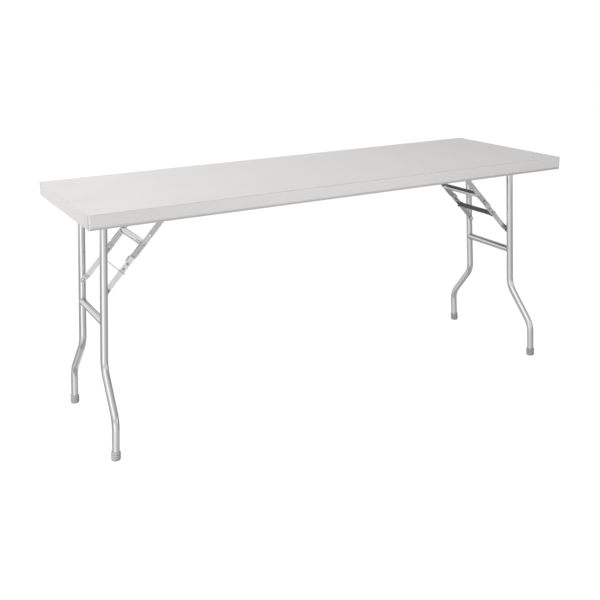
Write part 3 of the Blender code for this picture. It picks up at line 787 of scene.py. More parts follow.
def leg_path(steps=18):
    w1, w2 = leg_w(BEND_TOP_Z), leg_w(BEND_LOW_Z)
    slope = math.atan2(FOOT_Y - LEG_Y, w2 - w1)
    tan_len = BEND_R * math.tan(slope / 2)
    pts = []
    cy, cw = LEG_Y + BEND_R, w1 - tan_len
    for i in range(steps + 1):
        a = slope * i / steps
        pts.append((cy - BEND_R * math.cos(a), cw + BEND_R * math.sin(a), a))
    cy, cw = FOOT_Y - BEND_R, w2 + tan_len
    for i in range(steps + 1):
        a = slope * (1 - i / steps)
        pts.append((cy + BEND_R * math.cos(a), cw - BEND_R * math.sin(a), a))
    return pts


def leg_tube():
    path = [(LEG_Y, 0.030, 0.0)] + [(LEG_Y, 0.030 + 0.09 * i, 0.0) for i in range(1, 6)]
    path += leg_path() + [(FOOT_Y, leg_w(0.050), 0.0), (FOOT_Y, leg_w(0.0058), 0.0)]
    both = []
    for r in (LEG_R, LEG_R - LEG_WALL):
        rings = []
        head = []
        for i in range(SEG):
            t = 2 * math.pi * (i + 0.5) / SEG
            u, q = r * math.cos(t), r * math.sin(t)
            w = math.sqrt((LEG_R + GAP) ** 2 - u * u)
            head.append((leg_map(u, LEG_Y + q, w), (w, u, q)))
        rings.append(head)
        length, last = 0.030, None
        for y, w, a in path:
            if last:
                length += math.hypot(y - last[0], w - last[1])
            last = (y, w)
            ring = []
            for i in range(SEG):
                t = 2 * math.pi * (i + 0.5) / SEG
                u, q = r * math.cos(t), r * math.sin(t)
                ring.append((leg_map(u, y + q * math.cos(a), w - q * math.sin(a)), (length, u, q)))
            rings.append(ring)
        both.append(rings)
    return tube_solid(*both)


def cross_tube(r, wall, half, place, cope=None, chamfer=0.0004):
    """Tube along Y between two ends, with softened mouths or ends cut to the legs."""
    both = []
    for k, rr in enumerate((r, r - wall)):
        rings = []
        stations = [(-1, 0.0)] + ([(-1, chamfer)] if cope is None else [])
        stations += [(0, f) for f in (-0.6, -0.2, 0.2, 0.6)]
        stations += ([(1, chamfer)] if cope is None else []) + [(1, 0.0)]
        for end, d in stations:
            ring = []
            for i in range(SEG):
                t = 2 * math.pi * (i + 0.5) / SEG
                tip = end != 0 and d == 0.0 and cope is None
                rad = rr + (-chamfer * 0.7 if k == 0 else chamfer * 0.3) * (1 if tip else 0)
                u, v = rad * math.cos(t), rad * math.sin(t)
                if end == 0:
                    y = d * (half if cope is None else LEG_Y - LEG_R)
                elif cope is None:
                    y = end * (half - d)
                else:
                    y = end * (LEG_Y - math.sqrt(cope * cope - u * u))
                ring.append((place(u, y, v), (y, u, v)))
            rings.append(ring)
        both.append(rings)
    return tube_solid(*both)


def bead(points, refs, radius, n=10):
    """Weld bead swept round a closed line, its thickness slightly uneven."""
    bm, lay = fresh()
    m = len(points)
    length, rings = 0.0, []
    for i in range(m):
        p, t = points[i], (points[(i + 1) % m] - points[i - 1]).normalized()
        if i:
            length += (p - points[i - 1]).length
        a = (refs[i] - t * refs[i].dot(t)).normalized()
        b = t.cross(a)
        r = radius * (1 + 0.10 * math.sin(i * 2.1) + 0.06 * math.sin(i * 0.7 + 1.0))
        rings.append([vert(bm, lay, p + (a * math.cos(2 * math.pi * j / n) + b * math.sin(2 * math.pi * j / n)) * r,
                           (length, r * math.cos(2 * math.pi * j / n), r * math.sin(2 * math.pi * j / n)))
                      for j in range(n)])
    for i in range(m):
        a, b = rings[i], rings[(i + 1) % m]
        for j in range(n):
            k = (j + 1) % n
            bm.faces.new((a[j], a[k], b[k], b[j]))
    return bm


def hinge_weld():
    """Bead where the leg meets the hinge tube."""
    pts, refs = [], []
    m = 72
    for i in range(m):
        t = 2 * math.pi * i / m
        u, q = LEG_R * math.cos(t), LEG_R * math.sin(t)
        w = math.sqrt((LEG_R + 0.0006) ** 2 - u * u)
        pts.append(leg_map(u, LEG_Y + q, w))
        refs.append(leg_map(u, LEG_Y + q, w) - leg_map(0, LEG_Y, w))
    return bead(pts, refs, 0.0015)


def stretcher_weld(wst):
    pts, refs = [], []
    m = 64
    for i in range(m):
        t = 2 * math.pi * i / m
        u, v = (LEG_R - 0.0001) * math.cos(t), (LEG_R + 0.0001) * math.sin(t)
        y = LEG_Y - math.sqrt((LEG_R + 0.0002) ** 2 - u * u)
        pts.append(leg_map(u, y, wst + v))
        refs.append(leg_map(u, y, wst + v) - leg_map(0, y, wst))
    return bead(pts, refs, 0.0014)


def foot_cap():
    """Moulded foot: softly rounded rings on a cup, flat where it meets the floor."""
    n = 64
    bore, rim, bed = LEG_R + GAP, leg_w(FOOT_TOP), leg_w(0.0055)
    low = 0.0146
    prof = [(bore, rim + 0.0006), (bore + 0.0003, rim + 0.0001), (0.0137, rim), (0.0144, rim + 0.0004),
            (0.0147, rim + 0.0013)]
    w = rim + 0.0014
    for _ in range(3):
        prof += [(low, w + 0.0022), (low + 0.0001, w + 0.0028), (0.0150, w + 0.0035), (FOOT_R - 0.0003, w + 0.0041),
                 (FOOT_R, w + 0.0048), (FOOT_R, w + 0.0062), (FOOT_R - 0.0003, w + 0.0069),
                 (0.0150, w + 0.0075), (low + 0.0001, w + 0.0080)]
        w += 0.0078
    bm, lay = fresh()

    def row(r, w):
        return [vert(bm, lay, leg_map(r * math.cos(2 * math.pi * i / n), FOOT_Y + r * math.sin(2 * math.pi * i / n), w),
                     (w, r, i)) for i in range(n)]

    def level(r, z):
        """Ring at height z over the floor round the tilted axis."""
        out = []
        for i in range(n):
            u = r * math.cos(2 * math.pi * i / n)
            y = FOOT_Y + r * math.sin(2 * math.pi * i / n)
            p = leg_map(u, y, (HINGE_Z + u * ss - z) / cs)
            out.append(vert(bm, lay, (p.x, p.y, z), (z, r, i)))
        return out

    rows = [[vert(bm, lay, leg_map(0.0, FOOT_Y, bed), (0, 0, 0))], row(bore, bed)]
    rows += [row(r, w) for r, w in prof if w < leg_w(0.0062)]
    rows += [level(0.0152, 0.0042), level(0.0148, 0.0028), level(0.0140, 0.0014), level(0.0128, 0.0004),
             level(0.0116, 0.0), level(0.0090, 0.0)]
    for a, b in zip(rows, rows[1:]):
        for i in range(n):
            j = (i + 1) % n
            if len(a) == 1:
                bm.faces.new((a[0], b[i], b[j]))
            else:
                bm.faces.new((a[i], a[j], b[j], b[i]))
    bm.faces.new(rows[-1])
    return bm


# ===================================================================== arms
def round_end(s, r, toward, n=16):
    out = []
    for i in range(n + 1):
        a = -math.pi / 2 + math.pi * i / n
        out.append((s + toward * r * math.cos(a), toward * r * math.sin(a)))
    return out


def hole(s, h, r, n=28):
    return [(s + r * math.cos(2 * math.pi * i / n), h + r * math.sin(2 * math.pi * i / n)) for i in range(n)]


def slot(s0, s1, r, n=10):
    pts = []
    for i in range(n + 1):
        a = -math.pi / 2 + math.pi * i / n
        pts.append((s1 + r * math.cos(a), r * math.sin(a)))
    for i in range(n + 1):
        a = math.pi / 2 + math.pi * i / n
        pts.append((s0 + r * math.cos(a), r * math.sin(a)))
    return pts


def jog(s):
    """Smooth step of the lower arm towards the leg."""
    f = (JOG_S1 - s) / (JOG_S1 - JOG_S0)
    soft = 0.10
    if f <= -soft:
        return 0.0
    if f >= 1 + soft:
        return JOG
    if f < soft:
        return JOG * (f + soft) ** 2 / (4 * soft)
    if f > 1 - soft:
        return JOG * (1 - (1 + soft - f) ** 2 / (4 * soft))
    return JOG * f


def lower_arm():
    h, r = ARM_HALF, 0.0105
    blend = KNEE_S - 0.020
    outline = round_end(KNEE_S, r, +1)
    outline += [(blend, h)] + round_end(0.0, h, -1) + [(blend, -h)]
    holes = [hole(s, 0.0, 0.0023) for s in RIVET_S] + [hole(0.0, 0.0, 0.0033)]
    cuts = [JOG_S0 - 0.0013 + (JOG_S1 - JOG_S0 + 0.0026) * i / 14 for i in range(15)]
    return plate(outline, holes, LOWER_Y, LOWER_Y + ARM_T, arm_map, b=0.0005, cuts=cuts, warp=jog)


def upper_arm():
    c = 0.003
    tail = fillet([(TAIL_S + 0.02, ARM_HALF), (TAIL_S, ARM_HALF), (TAIL_S, -ARM_HALF), (TAIL_S + 0.02, -ARM_HALF)],
                  [0.0, c, c, 0.0], 6)
    outline = round_end(BRACE_LEN, ARM_HALF, +1) + tail
    holes = [hole(BRACE_LEN, 0.0, 0.0033), hole(KNEE_S, 0.0, 0.0043), hole(0.2530, 0.0, 0.0030), hole(0.1850, 0.0, 0.0038)]
    return plate(outline, holes, UPPER_Y, UPPER_Y + ARM_T, arm_map, b=0.0005)


def screw(x, y, z):
    """Pan-head screw under a flange at z, with a cross recess."""
    head = lathe([(0, z + 0.0015), (0.0019, z + 0.0015), (0.0019, z - 0.0001), (0.0036, z - 0.0001), (0.0037, z - 0.0005)]
                 + [(0.0037 - 0.0037 * (1 - math.cos(a)), z - 0.0005 - 0.0014 * math.sin(a))
                    for a in (math.pi / 2 * i / 8 for i in range(1, 8))] + [(0, z - 0.0019)], 32,
                 lambda a, b, t: Vector((x + a, y + b, t)))
    cut = []
    for i in range(2):
        l, w = 0.0019, 0.00032
        ax, ay = ((l, w), (w, l))[i]
        bm, lay = fresh()
        vs = [vert(bm, lay, (x + a * ax, y + b * ay, z - c), (0, 0, 0)) for a in (-1, 1) for b in (-1, 1) for c in (0.0011, 0.0030)]
        for f in ((0, 1, 3, 2), (4, 6, 7, 5), (0, 4, 5, 1), (2, 3, 7, 6), (0, 2, 6, 4), (1, 5, 7, 3)):
            bm.faces.new([vs[i] for i in f])
        cut.append(bm)
    return fused("screw", [head], cut)


# ===================================================================== ends
def swap(bm, rule):
    """Rewrites the grain of every vertex, so that its first axis runs along the piece."""
    lay = bm.verts.layers.float_vector["grain"]
    for v in bm.verts:
        v[lay] = rule(v[lay])
    return bm


for sy, word in ((-1, "front"), (1, "rear")):
    part(word + "_stiffener_channel",
         swap(plate(hat(0.020, 0.012), [], -0.520, 0.520, lambda a, b, t: Vector((t, STIFF_Y + a, b)), b=0.0002, support=0.0001),
              lambda g: (g[2], g[0], g[1])),
         "rail_stiff", node=word + "_stiffener", sy=sy)

for sx, side in ((-1, "left"), (1, "right")):
    turn = lambda g: (g[2], g[0], g[1])
    part(side + "_hinge_channel",
         swap(plate(hat(0.024, 0.013), [], -0.225, 0.225, lambda a, b, t: Vector((HINGE_X + a, t, b)),
                    b=0.0002, support=0.0001), turn),
         "rail_hinge", node=side + "_hinge_rail", sx=sx)
    part(side + "_brace_channel",
         swap(plate(hat(0.016, 0.010), [], -0.225, 0.225, lambda a, b, t: Vector((ANCHOR_X + a, t, b)),
                    b=0.0002, support=0.0001), turn),
         "rail_brace", node=side + "_brace_rail", sx=sx)

    part(side + "_hinge_axle",
         cross_tube(LEG_R, 0.0015, HINGE_TUBE_HALF, lambda u, y, v: leg_map(u, y, v)),
         "tube", node=side + "_hinge_tube", sx=sx)
    wst = leg_w(STRETCHER_Z)
    part(side + "_stretcher_tube",
         cross_tube(LEG_R, LEG_WALL, 0.0, lambda u, y, v: leg_map(u, y, wst + v), cope=LEG_R + GAP),
         "stretcher_" + side, node=side + "_stretcher", sx=sx)
    part(side + "_knee_tube",
         cross_tube(CROSS_R, CROSS_WALL, LOWER_Y - GAP, lambda u, y, v: arm_map(KNEE_S + u, v, y)),
         "tube", node=side + "_knee_bar", sx=sx)

    # release bar: strap, and at each end a slide plate with its lug
    y_in, y_out = LOWER_Y - GAP, LOWER_Y + ARM_T + GAP
    half = y_out + 0.0015
    neck = y_in - 0.0060
    strap_o = fillet([(-half, -0.0130), (-neck, -0.0130), (-neck + 0.0040, -0.0105), (neck - 0.0040, -0.0105),
                      (neck, -0.0130), (half, -0.0130), (half, 0.0120), (neck, 0.0120),
                      (neck - 0.0040, 0.0095), (-neck + 0.0040, 0.0095), (-neck, 0.0120), (-half, 0.0120)],
                     [0.0014, 0.0016, 0.0016, 0.0016, 0.0016, 0.0014, 0.0014, 0.0016, 0.0016, 0.0016, 0.0016, 0.0014], 5)
    wins = [fillet([(k * y_in, -0.0098), (k * y_out, -0.0098), (k * y_out, 0.0098), (k * y_in, 0.0098)], 0.0004, 3)
            for k in (-1, 1)]
    solids = [plate(strap_o, wins, LOCK_S0, LOCK_S0 + 0.0020, lambda a, b, t: arm_map(t, b, a), b=0.0003, support=0.0002)]
    for k in (-1, 1):
        lip = plate(fillet([(y_out + 0.0001, -0.0130), (half, -0.0130), (half, 0.0120), (y_out + 0.0001, 0.0120)], 0.0004, 3),
                    [], LOCK_S0 + 0.0005, LOCK_S0 + 0.0046, lambda a, b, t: arm_map(t, b, a), b=0.0002, support=0.0002)
        solids.append(mirror(lip, 1, k))
        outline = [(LOCK_S0 + 0.0010, -ARM_HALF), (LOCK_S1, -ARM_HALF), (LOCK_S1, 0.0128),
                   (LOCK_S1 - 0.0205, 0.0128), (LOCK_S1 - 0.0235, 0.0085), (LOCK_S0 + 0.0010, 0.0085)]
        outline = fillet(outline, [0.0, 0.003, 0.0025, 0.0012, 0.0012, 0.0], 5)
        slots = [slot(s, s + LOCK_TRAVEL, 0.0023) for s in RIVET_S]
        pl = plate(outline, slots, y_in - 0.0015, y_in, arm_map, b=0.0003, support=0.0003)
        lug = plate(fillet([(LOCK_S1 - 0.0195, 0.0098), (LOCK_S1 - 0.0030, 0.0098), (LOCK_S1 - 0.0030, 0.0124),
                            (LOCK_S1 - 0.0195, 0.0124)], 0.0005, 3), [], y_in - 0.0008, LOWER_Y + ARM_T, arm_map,
                    b=0.0003, support=0.0002)
        solids += [mirror(pl, 1, k), mirror(lug, 1, k)]
    part(side + "_release_slide", fused(side + "_release", solids), "lock",
         node=side + "_release_bar", sx=sx, angle=40.0)

    for sy, end in ((-1, "front"), (1, "rear")):
        pre = side + "_" + end + "_"
        # saddle round the hinge tube
        zf1 = RAIL_Z0 - GAP
        zf0 = zf1 - 0.0020
        ri, ro = LEG_R + GAP, LEG_R + GAP + 0.0020
        prof = ([(-0.033, zf1), (-ri - 0.0006, zf1), (-ri, zf1 - 0.0012)]
                + [(ri * math.cos(math.pi + math.pi * i / 28), HINGE_Z + ri * math.sin(math.pi + math.pi * i / 28)) for i in range(29)]
                + [(ri, zf1 - 0.0012), (ri + 0.0006, zf1), (0.033, zf1), (0.033, zf0), (ro + 0.0018, zf0), (ro + 0.0004, zf0 - 0.0006), (ro, zf0 - 0.0020)]
                + [(ro * math.cos(-math.pi * i / 28), HINGE_Z + ro * math.sin(-math.pi * i / 28)) for i in range(29)]
                + [(-ro, zf0 - 0.0020), (-ro - 0.0004, zf0 - 0.0006), (-ro - 0.0018, zf0), (-0.033, zf0)])
        part(pre + "saddle_strap",
             plate(prof, [], 0.160, 0.182, lambda a, b, t: Vector((HINGE_X + a, t, b)), b=0.0003, support=0.0002),
             "bracket", node=pre + "hinge_saddle", sx=sx, sy=sy)
        part(pre + "saddle_screws",
             merged(screw(HINGE_X - 0.0245, 0.171, zf0), screw(HINGE_X + 0.0245, 0.171, zf0)),
             "rivet", body="top", sx=sx, sy=sy)

        # anchor: angle plate with a fixed stud
        r, zt = 0.0105, RAIL_Z0 - GAP
        ear = [(-r, zt - 0.0006), (-r, BRACE_TOP_Z)] + \
              [(r * math.cos(math.pi + math.pi * i / 24), BRACE_TOP_Z + r * math.sin(math.pi + math.pi * i / 24)) for i in range(1, 24)] + \
              [(r, BRACE_TOP_Z), (r, zt - 0.0006)]
        ear_bm = plate(ear, [], EAR_Y, EAR_Y + EAR_T, lambda a, b, t: Vector((ANCHOR_X + a, t, b)), b=0.0003, support=0.0002)
        fl = fillet([(ANCHOR_X - 0.0155, EAR_Y + 0.0002), (ANCHOR_X + 0.0155, EAR_Y + 0.0002), (ANCHOR_X + 0.0155, 0.1480),
                     (ANCHOR_X - 0.0155, 0.1480)], [0.0012, 0.0012, 0.0030, 0.0030], 6)
        fl_bm = plate(fl, [], zt - 0.0018, zt, lambda a, b, t: Vector((a, b, t)), b=0.0003, support=0.0002)
        gusset = plate(fillet([(EAR_Y + 0.0010, zt - 0.0008), (EAR_Y + 0.0010, zt - 0.0060), (EAR_Y + EAR_T + 0.0002, zt - 0.0045),
                               (EAR_Y + EAR_T + 0.0028, zt - 0.0016), (EAR_Y + EAR_T + 0.0028, zt - 0.0008)], 0.0, 1), [],
                       -0.0085, 0.0085, lambda a, b, t: Vector((ANCHOR_X + t, a, b)), b=0.0002, support=0.0002)
        y0 = LOWER_Y + ARM_T + GAP
        stud = lathe([(0, y0), (0.0047, y0), (0.0053, y0 + 0.0003), (0.0055, y0 + 0.0009), (0.0055, UPPER_Y - GAP - 0.0002),
                      (0.0053, UPPER_Y - GAP), (0.0030, UPPER_Y - GAP), (0.0030, EAR_Y + 0.0010), (0, EAR_Y + 0.0010)],
                     32, along_y(ANCHOR_X, BRACE_TOP_Z))
        part(pre + "anchor_plate", fused(pre + "anchor", [ear_bm, fl_bm, gusset, stud]), "bracket",
             node=pre + "brace_anchor", sx=sx, sy=sy, angle=40.0)
        part(pre + "anchor_screws",
             merged(screw(ANCHOR_X - 0.0088, 0.1375, zt - 0.0018), screw(ANCHOR_X + 0.0088, 0.1375, zt - 0.0018)),
             "rivet", body="top", sx=sx, sy=sy)

        part(pre + "leg_tube", leg_tube(), "tube", node=pre + "leg", sx=sx, sy=sy)
        part(pre + "hinge_weld", hinge_weld(), "weld", body=side + "_legs", sx=sx, sy=sy)
        part(pre + "stretcher_weld", stretcher_weld(wst), "weld", body=side + "_legs", sx=sx, sy=sy)
        part(pre + "foot_cap", foot_cap(), "foot_" + side + "_" + end, node=pre + "foot", sx=sx, sy=sy)

        # blind rivet through the arm into the leg
        yi = LOWER_Y + JOG - GAP
        yt = LEG_Y - LEG_R + LEG_WALL + 0.0014
        # the left rear rivet takes a darker copy of the rivet finish, painted shade
        part(pre + "leg_blind_rivet",
             lathe([(0, yi - 0.0014), (0.0013, yi - 0.0014), (0.0015, yi - 0.0016), (0.0015, yi - 0.0026), (0.0018, yi - 0.0028),
                    (0.0034, yi - 0.0025), (0.0050, yi - 0.0018), (0.0061, yi - 0.0009), (0.0066, yi - 0.0002), (0.0065, yi),
                    (0.0030, yi), (0.0030, yt), (0.0046, yt), (0.0046, yt + 0.0010), (0.0036, yt + 0.0022), (0, yt + 0.0026)],
                   36, along_y(PIVOT_X, BRACE_LEG_Z)),
             "rivet_dimmed_copy" if pre == "left_rear_" else "rivet_arm", node=pre + "leg_rivet", sx=sx, sy=sy)

        part(pre + "lower_brace", lower_arm(), "arm_low_" + side + "_" + end, node=pre + "lower_arm", sx=sx, sy=sy)
        part(pre + "upper_brace", upper_arm(), "arm_up", node=pre + "upper_arm", sx=sx, sy=sy)
        km = arm_map(KNEE_S, 0, 0)
        yk = UPPER_Y + ARM_T + GAP
        part(pre + "knee_pin",
             lathe([(0, LOWER_Y + ARM_T + GAP), (0.0040, LOWER_Y + ARM_T + GAP), (0.0040, yk), (0.0058, yk), (0.0060, yk + 0.0003)]
                   + [(0.0060 * math.cos(a), yk + 0.0003 + 0.0010 * math.sin(a)) for a in (math.pi / 2 * i / 8 for i in range(1, 8))]
                   + [(0, yk + 0.0013)], 40, along_y(km.x, km.z)),
             "rivet_bright", node=pre + "knee_rivet", sx=sx, sy=sy)
        for s, word in zip(RIVET_S, ("low", "high")):
            c = arm_map(s, 0, 0)
            yi, yu = LOWER_Y - GAP - 0.0015 - GAP, LOWER_Y + ARM_T + GAP
            part(pre + "guide_pin_" + word,
                 lathe([(0, yi - 0.0018), (0.0018, yi - 0.0017), (0.0029, yi - 0.0013), (0.0036, yi - 0.0005), (0.0037, yi), (0.0020, yi),
                        (0.0020, yu), (0.0037, yu), (0.0036, yu + 0.0004), (0.0029, yu + 0.0010), (0.0017, yu + 0.0013), (0, yu + 0.0014)],
                       28, along_y(c.x, c.z)),
                 "rivet", node=pre + "guide_rivet_" + word, sx=sx, sy=sy)


# ===================================================================== studio
scene = bpy.context.scene
scene.view_settings.view_transform = "Standard"
scene.view_settings.look = "None"
scene.view_settings.exposure = 0.0
scene.view_settings.gamma = 1.0


def disc(name, radius, z, rings=1, n=96):
    bm = bmesh.new()
    vs = [bm.verts.new((radius * math.cos(2 * math.pi * i / n), radius * math.sin(2 * math.pi * i / n), z)) for i in range(n)]
    f = bm.faces.new(vs)
    if f.normal.z < 0:
        f.normal_flip()
    me = bpy.data.meshes.new(name)
    bm.to_mesh(me)
    bm.free()
    ob = bpy.data.objects.new(name, me)
    scene.collection.objects.link(ob)
    return ob


def emission(n, strength):
    e = n.add("ShaderNodeEmission")
    n.put(e.inputs["Strength"], strength)
    return e.outputs[0]


def surface(m, shader):
    out = next(x for x in m.node_tree.nodes if x.type == "OUTPUT_MATERIAL")
    m.node_tree.links.new(shader, out.inputs["Surface"])


# pale floor: a faint shadow on near-white; its underside lets the view through
floor = disc("studio_floor", 16.0, 0.0)
m, n, p = new_material("pale_floor")
p.inputs["Base Color"].default_value = (0.9, 0.9, 0.9, 1.0)
p.inputs["Roughness"].default_value = 0.9
p.inputs["Specular IOR Level"].default_value = 0.0
speck = n.noise(n.add("ShaderNodeTexCoord").outputs["Object"], 40.0, 2.0)
n.put(p.inputs["Roughness"], n.ramp(speck, 0.3, 0.7, 0.85, 0.95))
mix = n.add("ShaderNodeAddShader")
n.put(mix.inputs[0], emission(n, 0.93))
dim = n.add("ShaderNodeMixShader")
dim.inputs[0].default_value = 0.12
n.put(dim.inputs[1], n.add("ShaderNodeEmission").outputs[0])
n.t.nodes[-1].inputs["Strength"].default_value = 0.0
n.put(dim.inputs[2], p.outputs[0])
n.put(mix.inputs[1], dim.outputs[0])
back = n.add("ShaderNodeMixShader")
n.put(back.inputs[0], n.add("ShaderNodeNewGeometry").outputs["Backfacing"])
n.put(back.inputs[1], mix.outputs[0])
n.put(back.inputs[2], n.add("ShaderNodeBsdfTransparent").outputs[0])
surface(m, back.outputs[0])
floor.data.materials.append(m)
floor.visible_glossy = False
floor.visible_diffuse = False

# white surround, seen only by the camera
bm = bmesh.new()
bmesh.ops.create_uvsphere(bm, u_segments=48, v_segments=24, radius=30.0)
me = bpy.data.meshes.new("studio_surround")
bm.to_mesh(me)
bm.free()
surround = bpy.data.objects.new("studio_surround", me)
scene.collection.objects.link(surround)
m, n, p = new_material("white_surround")
surface(m, emission(n, 1.02))
me.materials.append(m)
for flag in ("visible_glossy", "visible_diffuse", "visible_shadow", "visible_transmission", "visible_volume_scatter"):
    setattr(surround, flag, False)

# ring of cards round the table and below it, seen only in the metal
CARD_R, CARD_TOP, CARD_LOW = 3.0, 1.20, -2.5
bm = bmesh.new()
rows = []
for radius, z in ((CARD_R, CARD_TOP), (CARD_R, 0.0), (CARD_R, CARD_LOW)):
    rows.append([bm.verts.new((radius * math.cos(2 * math.pi * i / 144), radius * math.sin(2 * math.pi * i / 144), z))
                 for i in range(144)])
for a, b in zip(rows, rows[1:]):
    for i in range(144):
        bm.faces.new((a[i], a[(i + 1) % 144], b[(i + 1) % 144], b[i]))
bm.faces.new(rows[-1])
me = bpy.data.meshes.new("studio_cards")
bm.to_mesh(me)
bm.free()
cards = bpy.data.objects.new("studio_cards", me)
scene.collection.objects.link(cards)
m, n, p = new_material("card_light")
sep = n.add("ShaderNodeSeparateXYZ")
n.put(sep.inputs[0], n.add("ShaderNodeTexCoord").outputs["Object"])
px, py, pz = sep.outputs[0], sep.outputs[1], sep.outputs[2]
bearing = n.math("ARCTAN2", n.math("MULTIPLY", px, -1.0), n.math("MULTIPLY", py, -1.0))     # 0 at the front, + to the left


def curve(n, value, points, half=180.0, unit=math.pi):
    """Value through a row of (place, strength) points, straight between them."""
    r = n.add("ShaderNodeValToRGB")
    e = r.color_ramp.elements
    for i, (x, y) in enumerate(points):
        at = (x + half) / (2 * half)
        if i == 0:
            e[0].position = at
            el = e[0]
        elif i == len(points) - 1:
            el = e[len(e) - 1]
            el.position = at
        else:
            el = e.new(at)
        el.color = (y / 2.0, y / 2.0, y / 2.0, 1.0)
    n.put(r.inputs[0], n.math("ADD", n.math("DIVIDE", value, 2 * unit), 0.5))
    grey = n.add("ShaderNodeSeparateColor")
    n.put(grey.inputs[0], r.outputs[0])
    return n.math("MULTIPLY", grey.outputs[0], 2.0)


LOW = [(-180, 1.18), (-165, 1.02), (-150, 0.78), (-125, 0.42), (-100, 0.40), (-73, 0.44), (-58, 0.44), (-49, 0.44),
       (-42, 0.50), (-27, 0.70), (-18, 0.78), (4, 0.82), (18, 0.88), (25, 0.92), (32, 1.02), (38, 1.22), (45, 1.45), (51, 1.72), (62, 1.68),
       (68, 1.25), (75, 0.94), (82, 0.66), (95, 0.57), (106, 0.50), (116, 0.46), (135, 0.44), (150, 0.54), (167, 0.70), (180, 1.18)]
HIGH = [(-180, 1.18), (-172, 0.92), (-160, 0.68), (-150, 0.60), (-135, 0.38), (-118, 0.34), (-90, 0.46), (-70, 0.60), (-55, 0.84),
        (-42, 1.06), (-30, 1.14), (-14, 1.06), (-4, 0.88), (4, 0.76), (12, 0.78), (25, 0.86), (38, 0.92), (50, 0.98),
        (62, 0.98), (75, 0.94), (92, 0.92), (108, 0.92), (122, 1.00), (134, 1.16), (150, 1.20), (165, 1.20), (180, 1.18)]
DEEP = [(-180, 0.44), (-165, 0.46), (-150, 0.52), (-125, 0.44), (-100, 0.44), (-60, 0.50), (-45, 0.54), (-18, 0.70), (4, 0.80), (18, 0.90),
        (32, 1.00), (46, 1.12), (62, 1.15), (72, 1.05), (85, 0.88), (105, 0.76), (117, 0.70), (135, 0.56), (150, 0.50), (167, 0.48), (180, 0.44)]
FOOT = [(-180, 0.0), (-80, 0.0), (-66, 0.14), (-52, 0.32), (-40, 0.14), (-25, 0.05), (10, 0.03), (30, 0.16), (42, 0.52),
        (52, 0.76), (62, 0.62), (80, 0.10), (100, 0.0), (180, 0.0)]
EDGE = [(-180, 0.11), (-75, 0.11), (-62, 0.20), (-42, 0.20), (-34, 0.11), (22, 0.11), (32, 0.30), (45, 0.38), (95, 0.38),
        (108, 0.30), (122, 0.14), (180, 0.11)]
low, high, deep, border, foot = (curve(n, bearing, row) for row in (LOW, HIGH, DEEP, EDGE, FOOT))
low = n.mix(n.ramp(pz, -0.95, -0.45, 1.0, 0.0), low, deep)
rest = n.math("DIVIDE", n.math("SUBTRACT", pz, border), 0.10)
light = n.mix(n.math("MINIMUM", n.math("MAXIMUM", rest, 0.0), 1.0), low, high)
back = n.math("MULTIPLY", n.ramp(n.math("ABSOLUTE", bearing), math.radians(160), math.radians(170)), n.ramp(pz, 0.28, 0.45))
back = n.math("MULTIPLY", back, n.ramp(pz, 0.80, 0.95, 1.0, 0.0))
light = n.mix(back, light, 0.50)
ends = n.math("MULTIPLY", n.ramp(bearing, math.radians(129), math.radians(137)), n.ramp(bearing, math.radians(164), math.radians(172), 1.0, 0.0))
light = n.mix(n.math("MULTIPLY", ends, n.ramp(pz, -0.30, -0.15)), light, 1.18)
steep = n.ramp(py, 0.2, 1.6, 0.50, 0.95)
steep = n.math("ADD", steep, n.math("MULTIPLY", foot, n.ramp(pz, -2.45, -2.30)))
light = n.mix(n.ramp(pz, -2.0, -1.40, 1.0, 0.0), light, steep)
surface(m, emission(n, light))
cards.data.materials.append(m)
for flag in ("visible_camera", "visible_diffuse", "visible_shadow", "visible_transmission"):
    setattr(cards, flag, False)

def one_sided_card(name, corners, strength):
    """Card seen only in the metal, and only from the side that its corners turn round."""
    bm = bmesh.new()
    bm.faces.new([bm.verts.new(c) for c in corners])
    me = bpy.data.meshes.new(name)
    bm.to_mesh(me)
    bm.free()
    ob = bpy.data.objects.new(name, me)
    scene.collection.objects.link(ob)
    m, n, p = new_material(name + "_light")
    through = n.add("ShaderNodeMixShader")
    n.put(through.inputs[0], n.add("ShaderNodeNewGeometry").outputs["Backfacing"])
    n.put(through.inputs[1], emission(n, strength))
    n.put(through.inputs[2], n.add("ShaderNodeBsdfTransparent").outputs[0])
    surface(m, through.outputs[0])
    me.materials.append(m)
    for flag in ("visible_camera", "visible_diffuse", "visible_shadow", "visible_transmission"):
        setattr(ob, flag, False)


def facing_down(x0, x1, y0, y1, z):
    return ((x0, y0, z), (x0, y1, z), (x1, y1, z), (x1, y0, z))


# Dark cards under the right half of the top and inside its rear skirt, seen only in the metal: painted shade in place
# of the shaded underside.
one_sided_card("painted_shade_card_right", facing_down(0.30, 0.80, -0.300, 0.302, 0.7772), 0.11)
one_sided_card("painted_shade_card_skirt", ((0.15, 0.302, 0.6600), (0.80, 0.302, 0.6600), (0.80, 0.302, 0.7772), (0.15, 0.302, 0.7772)), 0.09)
# A glowing card under the left half of the top, seen only in the metal: a painted reflection in place of the underside.
one_sided_card("painted_reflection_card_left", facing_down(-0.80, -0.30, -0.300, 0.302, 0.7772), 1.12)

